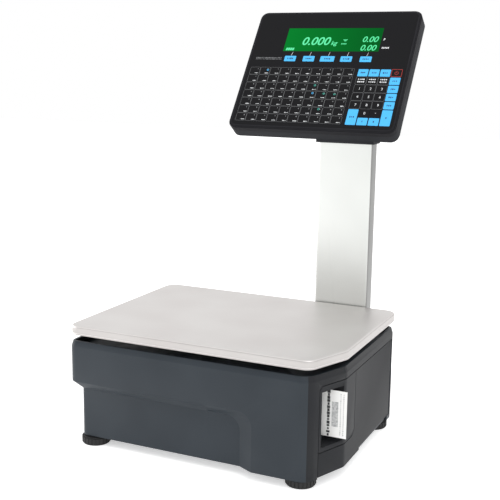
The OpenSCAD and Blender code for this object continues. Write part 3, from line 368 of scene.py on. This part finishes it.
def softened(node, width, finishes, choose=None):
    """A copy of a moulded node with its edges broken by a small radius."""
    source = NODES[node]
    shape = bmesh.new()
    shape.from_mesh(source.data)
    bmesh.ops.remove_doubles(shape, verts=shape.verts, dist=2e-6)
    bmesh.ops.dissolve_limit(shape, angle_limit=0.01, verts=shape.verts, edges=shape.edges)
    copy = bpy.data.meshes.new(node + "_moulded")
    shape.to_mesh(copy)
    shape.free()
    carrier = bpy.data.objects.new(node + "_carrier", copy)
    bpy.context.scene.collection.objects.link(carrier)
    edge = carrier.modifiers.new("edge", "BEVEL")
    edge.width = width
    edge.segments = 2
    edge.limit_method = "ANGLE"
    edge.angle_limit = math.radians(20)
    edge.harden_normals = True
    mesh = evaluated(carrier)
    mesh.shade_smooth()
    mesh.set_sharp_from_angle(angle=math.radians(20))
    mesh.materials.clear()
    for finish in finishes:
        mesh.materials.append(finish)
    for face in mesh.polygons:
        face.material_index = choose(face) if choose else 0
    return mesh


ON_DRAWING = Matrix.Translation(ORIGIN) @ Matrix.Scale(MM, 4)

# ---- moulded shells and the post

for node, body, width, finish in (
        ("printer_door", "door", 0.4 * MM, side_painted_light_abs),
        ("outlet_bezel", "base", 0.4 * MM, side_painted_light_abs), ("post_shroud", "base", 0.8 * MM, casing_abs),
        ("head_front", "base", 0.5 * MM, head_abs)):
    piece(node + "_shell", softened(node, width, [finish]), body, "casing_moulding", node)
# The casing's faces turned to +X take the side tone: painted light on one moulding.
piece("upper_casing_shell", softened("upper_casing", 0.7 * MM, [casing_abs, side_painted_light_abs],
                                     lambda face: 1 if face.normal.x > 0.5 else 0),
      "base", "casing_moulding", "upper_casing")
piece("head_rear_shell", softened("head_rear", 0.6 * MM, [rear_abs]), "base", "rear_shell_moulding",
      "head_rear")
# The faces of the tube turned to ±X take the painted shade.
piece("post_tube", softened("post", 0.8 * MM, [post_steel, post_side_painted_shade_steel],
                            lambda face: 1 if abs(face.normal.x) > 0.6 else 0), "base", "post_steel", "post")

# ---- platter: pressed sheet with a rolled edge and a folded hem

platter_w = (platter_high.x - platter_low.x) / MM
platter_d = (platter_high.y - platter_low.y) / MM
platter_top = platter_high.z / MM
platter_bottom = platter_low.z / MM
TAPER_W = 26.0
TAPER_D = 65.5
CORNER_R = 17
TAPER_R = 23


def platter_ring(inset, z):
    """The plan of the platter, drawn in by a distance, with its cut-back corner."""
    slope = math.hypot(TAPER_W, TAPER_D)
    w = platter_w / 2
    corners = [(-w + inset, inset), (w - TAPER_W + inset * (TAPER_W - slope) / TAPER_D, inset),
               (w - inset, TAPER_D + inset * (slope - TAPER_D) / TAPER_W),
               (w - inset, platter_d - inset), (-w + inset, platter_d - inset)]
    radii = [CORNER_R - inset, CORNER_R - inset, TAPER_R - inset, CORNER_R - inset, CORNER_R - inset]
    return [(x, y, z) for x, y in rounded_outline(corners, radii, 10)]


def rolled_edge():
    """Insets and heights from the top over the edge, down the lip and round the hem."""
    bend = 2.6
    hem = 0.9
    sheet = 1.2
    profile = [(5.0, platter_top), (bend + 0.1, platter_top)]
    for a in range(10, 91, 16):
        turn = math.radians(a)
        profile.append((bend - bend * math.sin(turn), platter_top - bend + bend * math.cos(turn)))
    profile += [(0.0, platter_top - bend - 0.2), (0.0, platter_bottom + 2.6), (0.25, platter_bottom + 2.3),
                (0.0, platter_bottom + 2.0), (0.0, platter_bottom + hem + 0.1)]
    for a in range(15, 166, 25):
        turn = math.radians(a)
        profile.append((hem - hem * math.cos(turn), platter_bottom + hem - hem * math.sin(turn)))
    profile += [(2 * hem, platter_bottom + 2.0), (sheet, platter_bottom + 3.0),
                (sheet, platter_top - sheet - 1.4), (sheet + 1.4, platter_top - sheet),
                (5.0, platter_top - sheet)]
    return profile


def platter_sheet():
    rings = [platter_ring(inset, z) for inset, z in rolled_edge()]
    count = len(rings[0])
    points = [p for ring in rings for p in ring]
    faces = [list(range(count))]
    for k in range(len(rings) - 1):
        for i in range(count):
            j = (i + 1) % count
            faces.append([k * count + i, (k + 1) * count + i, (k + 1) * count + j, k * count + j])
    last = (len(rings) - 1) * count
    faces.append([last + i for i in reversed(range(count))])
    mesh = joined_mesh("platter_sheet", [(points, faces)], smooth=True)
    mesh.transform(ON_DRAWING)
    mesh.materials.append(stainless)
    mesh.materials.append(stainless_edge_painted_shade)
    # The upright faces of the lip and hem take the greyer copy: painted shade.
    for face in mesh.polygons:
        face.material_index = 1 if abs(face.normal.z) < 0.5 else 0
    return mesh


piece("platter_sheet", platter_sheet(), "platter", "stainless_sheet", "platter")

# ---- display head: everything printed or domed on the keypad film

LEAN = math.radians(35.5)
film_low, film_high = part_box("keypad_overlay")
FILM_T = 0.5
out = Vector((0, -math.cos(LEAN), math.sin(LEAN)))
slope_up = Vector((0, math.sin(LEAN), math.cos(LEAN)))
# the shell lies a little left of and above the middle of the keypad
SHELL_SHIFT = (-1.1, 3.3)
head_middle = (film_low + film_high) / 2 + (out * FILM_T / 2 - slope_up * SHELL_SHIFT[1]) * MM
head_middle.x -= SHELL_SHIFT[0] * MM
ON_HEAD = Matrix((
    (1, slope_up.x, out.x, head_middle.x),
    (0, slope_up.y, out.y, head_middle.y),
    (0, slope_up.z, out.z, head_middle.z),
    (0, 0, 0, 1))) @ Matrix.Scale(MM, 4)


def node_tree(name, inputs, build):
    """A geometry tree with named inputs that ends in real, coated mesh."""
    tree = bpy.data.node_groups.new(name, "GeometryNodeTree")
    kinds = {"Finish": "NodeSocketMaterial", "Columns": "NodeSocketInt", "Rows": "NodeSocketInt",
             "Seed": "NodeSocketInt"}
    for key in inputs:
        tree.interface.new_socket(key, in_out="INPUT", socket_type=kinds.get(key, "NodeSocketFloat"))
    tree.interface.new_socket("Geometry", in_out="OUTPUT", socket_type="NodeSocketGeometry")
    entry = add(tree, "NodeGroupInput")
    real = add(tree, "GeometryNodeRealizeInstances", {"Geometry": build(tree, entry)})
    coat = add(tree, "GeometryNodeSetMaterial", {"Geometry": real, "Material": (entry, "Finish")})
    add(tree, "NodeGroupOutput", {"Geometry": coat})
    return tree


def grow(name, tree, place, body, slot, values):
    """Works out a tree with these inputs and puts the result in place as one piece."""
    carrier = bpy.data.objects.new(name + "_carrier", bpy.data.meshes.new(name))
    bpy.context.scene.collection.objects.link(carrier)
    modifier = carrier.modifiers.new(tree.name, "NODES")
    modifier.node_group = tree
    for item in tree.interface.items_tree:
        if item.item_type == "SOCKET" and item.in_out == "INPUT":
            modifier[item.identifier] = values[item.name]
    mesh = evaluated(carrier)
    mesh.transform(place)
    return piece(name, mesh, body, slot)


def grid_points(tree, entry):
    """Points in columns and rows, centred on the origin."""
    return add(tree, "GeometryNodeMeshGrid", {
        "Size X": (entry, "Span Across"), "Size Y": (entry, "Span Up"),
        "Vertices X": (entry, "Columns"), "Vertices Y": (entry, "Rows")})


def key_outline(tree, entry):
    quad = add(tree, "GeometryNodeCurvePrimitiveQuadrilateral",
               {"Width": (entry, "Key Width"), "Height": (entry, "Key Height")})
    return add(tree, "GeometryNodeFilletCurve",
               {"Curve": quad, "Radius": (entry, "Corner"), "Count": 3, "Limit Radius": True}, mode="POLY")


def domed_keys(tree, entry):
    """Each key is the outline, raised and drawn in a little at its top."""
    face = add(tree, "GeometryNodeFillCurve", {"Curve": key_outline(tree, entry)}, mode="NGONS")
    up = add(tree, "ShaderNodeCombineXYZ", {"Z": (entry, "Rise")})
    raised = add(tree, "GeometryNodeExtrudeMesh", {"Mesh": face, "Offset": up, "Individual": False})
    drawn = add(tree, "GeometryNodeScaleElements",
                {"Geometry": raised, "Selection": (raised, "Top"), "Scale": (entry, "Top Share")})
    under = add(tree, "GeometryNodeFlipFaces", {"Mesh": face})
    whole = add(tree, "GeometryNodeJoinGeometry")
    tree.links.new(drawn.outputs[0], whole.inputs[0])
    tree.links.new(under.outputs[0], whole.inputs[0])
    closed = add(tree, "GeometryNodeMergeByDistance", {"Geometry": whole, "Distance": 0.001})
    return add(tree, "GeometryNodeInstanceOnPoints", {"Points": grid_points(tree, entry), "Instance": closed})


def printed_frames(tree, entry):
    """A thin printed line round each key."""
    line = add(tree, "GeometryNodeCurvePrimitiveQuadrilateral",
               {"Width": (entry, "Line"), "Height": (entry, "Line")})
    frame_mesh = add(tree, "GeometryNodeCurveToMesh",
                     {"Curve": key_outline(tree, entry), "Profile Curve": line, "Fill Caps": False})
    return add(tree, "GeometryNodeInstanceOnPoints",
               {"Points": grid_points(tree, entry), "Instance": frame_mesh})


def legend_marks(tree, entry):
    """Small blocks of uneven width, as fine print reads from a distance."""
    size = add(tree, "ShaderNodeCombineXYZ",
               {"X": (entry, "Mark Width"), "Y": (entry, "Mark Height"), "Z": 0.1})
    mark = add(tree, "GeometryNodeMeshCube", {"Size": size})
    scale = add(tree, "FunctionNodeRandomValue",
                {0: (0.45, 0.55, 1.0), 1: (1.0, 1.0, 1.0), "Seed": (entry, "Seed")}, data_type="FLOAT_VECTOR")
    return add(tree, "GeometryNodeInstanceOnPoints",
               {"Points": grid_points(tree, entry), "Instance": mark, "Scale": scale})


SPREAD = ["Columns", "Rows", "Span Across", "Span Up"]
keys_tree = node_tree(
    "domed_keys", SPREAD + ["Key Width", "Key Height", "Corner", "Rise", "Top Share", "Finish"], domed_keys)
frames_tree = node_tree("printed_frames", SPREAD + ["Key Width", "Key Height", "Corner", "Line", "Finish"],
                        printed_frames)
marks_tree = node_tree("legend_marks", SPREAD + ["Mark Width", "Mark Height", "Seed", "Finish"], legend_marks)


def spread(columns, rows, pitch_u, pitch_v):
    return {"Columns": columns, "Rows": rows, "Span Across": (columns - 1) * pitch_u,
            "Span Up": (rows - 1) * pitch_v}


def on_head(u, v, w=0.0):
    return ON_HEAD @ Matrix.Translation((u, v, w))


# Key table: 10 columns and 7 rows of black keys with fine outlines
KEY_U = 16.8
KEY_V = 13.9
TABLE_U = -37.1
TABLE_V = -43.65
table = spread(10, 7, KEY_U, KEY_V)
grow("table_keys", keys_tree, on_head(TABLE_U, TABLE_V), "base", "keypad_film",
     {**table, "Key Width": 15.6, "Key Height": 12.6, "Corner": 1.4, "Rise": 0.35, "Top Share": 0.95,
      "Finish": key_film})
grow("table_frames", frames_tree, on_head(TABLE_U, TABLE_V, 0.05), "base", "keypad_film",
     {**table, "Key Width": 16.1, "Key Height": 13.1, "Corner": 1.6, "Line": 0.36, "Finish": ink_dim})
for mark, (du, width, seed) in enumerate(((1.6, 1.7, 3), (3.6, 1.9, 7), (5.7, 1.5, 11))):
    grow(f"table_legends_{mark}", marks_tree, on_head(TABLE_U + du, TABLE_V - 4.3, 0.38), "base",
         "keypad_film",
         {**table, "Mark Width": width, "Mark Height": 1.5, "Seed": seed, "Finish": ink_white})
grow("table_upper_legends", marks_tree, on_head(TABLE_U + 4.6, TABLE_V + 3.4, 0.38), "base", "keypad_film",
     {**table, "Mark Width": 1.4, "Mark Height": 2.0, "Seed": 19, "Finish": ink_grey})

# Number pad: 4 columns beside the table
PAD_U = 60.8
PAD_ROW = -2.75
PAD_PITCH = 16.9
PAD_KEY_W = 15.4
PAD_KEY_H = 12.5


def pad(column, row):
    return PAD_U + column * PAD_PITCH, PAD_ROW - row * KEY_V


def key_group(name, columns, rows, u, v, width, height, finish, pitch_u=PAD_PITCH, pitch_v=KEY_V):
    grow(name, keys_tree, on_head(u, v), "base", "keypad_film",
         {**spread(columns, rows, pitch_u, pitch_v), "Key Width": width, "Key Height": height, "Corner": 1.0,
          "Rise": 0.4, "Top Share": 0.96, "Finish": finish})


digits_u = pad(1, 0)[0]
digits_v = (pad(1, 1)[1] + pad(1, 4)[1]) / 2
low_u = (pad(1, 0)[0] + pad(2, 0)[0]) / 2
tall_u = (pad(0, 0)[0] + pad(3, 0)[0]) / 2
tall_v = (pad(0, 5)[1] + pad(0, 6)[1]) / 2
key_group("pad_top_keys", 3, 1, *pad(1, 0), PAD_KEY_W, PAD_KEY_H, key_blue)
key_group("power_key", 1, 1, *pad(3, 0), PAD_KEY_W, PAD_KEY_H, key_film)
key_group("pad_side_keys", 1, 4, pad(3, 0)[0], digits_v, PAD_KEY_W, PAD_KEY_H, key_blue)
key_group("pad_black_keys", 3, 4, digits_u, digits_v, PAD_KEY_W, PAD_KEY_H, key_film)
key_group("pad_zero_keys", 2, 1, low_u, pad(1, 5)[1], PAD_KEY_W, PAD_KEY_H, key_film)
key_group("pad_low_keys", 2, 1, low_u, pad(1, 6)[1], PAD_KEY_W, PAD_KEY_H, key_blue)
key_group("pad_tall_keys", 2, 1, tall_u, tall_v, PAD_KEY_W, PAD_KEY_H + KEY_V, key_blue,
          pitch_u=3 * PAD_PITCH)
grow("pad_frames", frames_tree, on_head(digits_u, digits_v, 0.05), "base",
     "keypad_film", {**spread(3, 4, PAD_PITCH, KEY_V), "Key Width": 16.1, "Key Height": 13.1, "Corner": 1.4,
                     "Line": 0.36, "Finish": ink_dim})
grow("power_frame", frames_tree, on_head(*pad(3, 0), 0.2), "base", "keypad_film",
     {**spread(1, 1, 1, 1), "Key Width": PAD_KEY_W, "Key Height": PAD_KEY_H, "Corner": 1.2, "Line": 0.8,
      "Finish": ink_red})

# Soft keys under the display, with slanted leader lines
SOFT = [(-60.5, 18.5), (-30.4, 18.5), (-0.5, 22.4), (29.3, 18.0), (59.6, 18.0)]
for number, (u, width) in enumerate(SOFT):
    key_group(f"soft_key_{number}", 1, 1, u, 21.15, width, 9.9, key_blue)

# Fine legends: navy on the blue keys and white on the black ones
blue_marks = [(u, 21.15, 4) for u, _ in SOFT] + [(*pad(c, 0), 3) for c in range(3)]
blue_marks += [(*pad(3, r), 3) for r in range(1, 5)] + [(*pad(1, 6), 1), (*pad(2, 6), 1)]
blue_marks += [(pad(0, 0)[0], tall_v, 3), (pad(3, 0)[0], tall_v, 1)]
for number, (u, v, columns) in enumerate(blue_marks):
    grow(f"blue_legend_{number}", marks_tree, on_head(u, v, 0.42), "base", "keypad_film",
         {**spread(columns, 1, 2.6, 1), "Mark Width": 2.2, "Mark Height": 3.2, "Seed": 23 + number,
          "Finish": ink_navy})
for number in range(3):
    u, v = pad(number, 1)
    grow(f"black_legend_{number}", marks_tree, on_head(u, v, 0.42), "base", "keypad_film",
         {**spread(4, 2, 2.7, 4.4), "Mark Width": 2.3, "Mark Height": 2.3, "Seed": 51 + number,
          "Finish": ink_white})
for number, v in enumerate((20.0, 22.6)):
    grow(f"range_legend_{number}", marks_tree, on_head(-96, v, 0.02), "base", "keypad_film",
         {**spread(18, 1, 2.4, 1), "Mark Width": 2.0, "Mark Height": 1.3, "Seed": 71 + number,
          "Finish": ink_grey})


def lettering(name, words, finish, weight):
    """Numbers set in type as one mesh: each is (text, u, v, height, lean, w)."""
    letters = bmesh.new()
    for text, u, v, height, lean, w in words:
        curve = bpy.data.curves.new(name, "FONT")
        curve.body = text
        curve.size = height / 0.72
        curve.shear = lean
        curve.align_x = "CENTER"
        curve.offset = weight * height
        curve.extrude = 0.04
        carrier = bpy.data.objects.new(name + "_type", curve)
        bpy.context.scene.collection.objects.link(carrier)
        mesh = evaluated(carrier)
        mesh.transform(Matrix.Translation((u, v, w)))
        letters.from_mesh(mesh)
        bpy.data.meshes.remove(mesh)
    mesh = bpy.data.meshes.new(name)
    letters.to_mesh(mesh)
    letters.free()
    mesh.transform(ON_HEAD)
    return piece(name, mesh, "base", "keypad_film", finishes=[finish])


KEY_TOP = 0.42
DIGIT_H = 4.2
digits = []
for row in range(3):
    for column in range(3):
        u, v = pad(column, 2 + row)
        digits.append((str(3 * row + column + 1), u + 0.8, v - DIGIT_H / 2, DIGIT_H, 0.0, KEY_TOP))
zero_u, zero_v = pad(1, 5)
digits += [("0", zero_u + 0.6, zero_v - DIGIT_H / 2, DIGIT_H, 0.0, KEY_TOP),
           (".", *pad(2, 5), 6, 0.0, KEY_TOP)]
lettering("pad_digits", digits, ink_white, -0.003)
LIT_LEAN = 0.22
lit = [("0.000", -26.5, 46.8, 14.6), ("kg", 3.4, 46.8, 7.4),
       ("0.00", 58.8, 52.4, 10.2), ("0.00", 58.6, 37.0, 10.2)]
lettering("lit_digits", [(*word, LIT_LEAN, 0.05) for word in lit], lcd_mint, 0.02)

# Status marks on the display, the unit marks beside it and the leader lines
status = [block(-72 + k * 3.4, 36.6, -69.2 + k * 3.4, 41.2, 0.0, 0.08, 0.8) for k in range(4)]
status += [block(17 + k, 56 - 1.2 * k, 24 - k, 56.8 - 1.2 * k, 0.0, 0.08) for k in range(3)]
status += [block(15 + k * 2.2, 47.8, 16.6 + k * 2.2, 49.8, 0.0, 0.08, 0.4) for k in range(4)]
mesh = joined_mesh("lit_status", status)
mesh.transform(ON_HEAD)
piece("lit_status", mesh, "base", "display_glass", finishes=[lcd_mint])
marks = [block(u + 0.3, 26.6, u + 0.8, 33.2, 0.0, 0.08, 1.2) for u, _ in SOFT]
marks += [block(79.4, 55.4, 80.4, 59, 0.0, 0.08, 0.6), block(80.6, 57.2, 82.2, 58.4, 0.0, 0.08)]
marks += [block(79.6 + k * 2.3, 40.4, 81.0 + k * 2.3, 43.2, 0.0, 0.08, 0.5) for k in range(5)]
mesh = joined_mesh("white_marks", marks)
mesh.transform(ON_HEAD)
piece("white_marks", mesh, "base", "keypad_film", finishes=[ink_white])


def ring(u, v, radius, width, low, high, start=0.0, sweep=360.0, steps=32):
    """A flat ring or part of one."""
    points, faces = [], []
    for k in range(steps + 1):
        a = math.radians(start + sweep * k / steps)
        for r, w in ((radius - width, low), (radius, low), (radius, high), (radius - width, high)):
            points.append((u + r * math.cos(a), v + r * math.sin(a), w))
    for k in range(steps):
        for i in range(4):
            j = (i + 1) % 4
            faces.append((4 * k + i, 4 * k + 4 + i, 4 * k + 4 + j, 4 * k + j))
    return points, faces + [(0, 1, 2, 3), (4 * steps + 3, 4 * steps + 2, 4 * steps + 1, 4 * steps)]


# A few coloured signs among the keys of the table
TEAL_ICONS = [(-8.0, -24.7), (9.1, -38.9), (25.8, -39.2), (7.4, -66.0)]
for name, spots, ink in (("table_icon_pale", [(-91.3, 1.7)], key_blue),
                         ("table_icon_blue", [(-8.5, -38.5)], key_blue),
                         ("table_icon_teal", TEAL_ICONS, ink_teal)):
    mesh = joined_mesh(name, [ring(u, v - 2, 1.7, 0.7, 0.3, 0.4, steps=16) for u, v in spots])
    mesh.transform(ON_HEAD)
    piece(name, mesh, "base", "keypad_film", finishes=[ink])

power_u, power_v = pad(3, 0)
mesh = joined_mesh("power_symbol", [ring(power_u, power_v, 3.0, 0.7, 0.38, 0.46, 120, 300),
                                    block(power_u - 0.4, power_v, power_u + 0.4, power_v + 3.6, 0.38, 0.46)])
mesh.transform(ON_HEAD)
piece("power_symbol", mesh, "base", "keypad_film", finishes=[ink_red])

# ---- printed label that stands out of the outlet

LABEL_Y = 50
LABEL_T = 0.25
ON_LABEL = ON_DRAWING @ Matrix(((1, 0, 0, 0), (0, 0, -1, LABEL_Y - LABEL_T / 2), (0, 1, 0, 0), (0, 0, 0, 1)))


def on_label(x, z):
    return ON_LABEL @ Matrix.Translation((x, z, 0.0))


grow("label_heading", marks_tree, on_label(171.6, 90.5), "base", "label_paper",
     {**spread(1, 15, 1, 4.1), "Mark Width": 4.6, "Mark Height": 4.0, "Seed": 5, "Finish": ink_thermal})
grow("label_code", marks_tree, on_label(180.3, 90), "base", "label_paper",
     {**spread(6, 22, 1.4, 1.5), "Mark Width": 1.5, "Mark Height": 1.4, "Seed": 8, "Finish": ink_faded})
grow("label_small_print", marks_tree, on_label(189.7, 90.5), "base", "label_paper",
     {**spread(2, 20, 3.9, 2.8), "Mark Width": 1.2, "Mark Height": 1.8, "Seed": 13, "Finish": ink_faded})

# ---- rear: contacts in the sockets

CASING_BACK = 279
WALL = 2.5
SOCKET_DEPTH = 8
CONTACT_Y = CASING_BACK - WALL - SOCKET_DEPTH
ON_REAR = ON_DRAWING @ Matrix(((-1, 0, 0, 0), (0, 0, 1, CONTACT_Y), (0, 1, 0, 0), (0, 0, 0, 1)))
for number, (x, z, columns, rows) in enumerate(((-51, 50.5, 8, 2), (-9, 50.5, 8, 2), (-61, 79.5, 8, 1),
                                                (-39, 79.5, 8, 1), (-17, 77, 4, 1))):
    grow(f"socket_contacts_{number}", marks_tree, ON_REAR @ Matrix.Translation((-x, z, 0.4)), "base",
         "cell_alloy", {**spread(columns, rows, 1.3 if rows == 1 else 3.0, 3.0), "Mark Width": 0.9,
                        "Mark Height": 1.4, "Seed": 31 + number, "Finish": gold_contact})

# ---------------------------------------------------------------- camera, light and floor

floor_mesh = bpy.data.meshes.new("floor")
FLOOR = 6.0
floor_mesh.from_pydata([(-FLOOR, -FLOOR, 0), (FLOOR, -FLOOR, 0), (FLOOR, FLOOR, 0), (-FLOOR, FLOOR, 0)],
                       [], [(0, 1, 2, 3)])
floor = bpy.data.objects.new("floor", floor_mesh)
bpy.context.scene.collection.objects.link(floor)
floor.data.materials.append(material("pale_paper_sweep", plain("#f4f4f4", "#f6f6f6", 0.5, 0.9, 0.0), IOR=1.3,
                                     Emission_Color=linear("#ffffff"), Emission_Strength=0.5))

world = bpy.data.worlds.new("studio")
bpy.context.scene.world = world
world.use_nodes = True
world.node_tree.nodes.clear()
sky = add(world.node_tree, "ShaderNodeBackground", {"Color": linear("#ffffff"), "Strength": 1.0})
add(world.node_tree, "ShaderNodeOutputWorld", {"Surface": sky})


def softbox(name, place, aim, size, power):
    light = bpy.data.lights.new(name, "AREA")
    light.shape = "RECTANGLE"
    light.size, light.size_y = size
    light.energy = power
    lamp = bpy.data.objects.new(name, light)
    bpy.context.scene.collection.objects.link(lamp)
    lamp.location = place
    lamp.rotation_euler = (Vector(aim) - Vector(place)).to_track_quat("-Z", "Y").to_euler()


softbox("softbox_right", (1.6, -0.9, 1.3), (0.1, 0, 0.15), (1.2, 1.2), 4)
softbox("softbox_left", (-2.0, -0.35, 0.5), (0, 0.05, 0.1), (2.2, 1.4), 20)
softbox("softbox_top", (0.9, -0.9, 2.2), (0, 0, 0), (1.4, 1.4), 9)

CAMERA_PLACE = at(550.86, -1020.35, 518.67)
YAW, PITCH, ROLL = math.radians(24.668), math.radians(10.997), math.radians(0.806)
ahead = Vector((-math.sin(YAW) * math.cos(PITCH), math.cos(YAW) * math.cos(PITCH), -math.sin(PITCH)))
level = Vector((math.cos(YAW), math.sin(YAW), 0))
upward = level.cross(ahead)
right = level * math.cos(ROLL) + upward * math.sin(ROLL)
top = upward * math.cos(ROLL) - level * math.sin(ROLL)
camera_data = bpy.data.cameras.new("camera")
camera_data.sensor_width = 36
camera_data.lens = 67.83
camera_data.clip_start = 0.05
camera = bpy.data.objects.new("camera", camera_data)
bpy.context.scene.collection.objects.link(camera)
camera.matrix_world = Matrix((
    (right.x, top.x, -ahead.x, CAMERA_PLACE.x),
    (right.y, top.y, -ahead.y, CAMERA_PLACE.y),
    (right.z, top.z, -ahead.z, CAMERA_PLACE.z),
    (0, 0, 0, 1)))
bpy.context.scene.camera = camera
bpy.context.scene.view_settings.view_transform = "Standard"
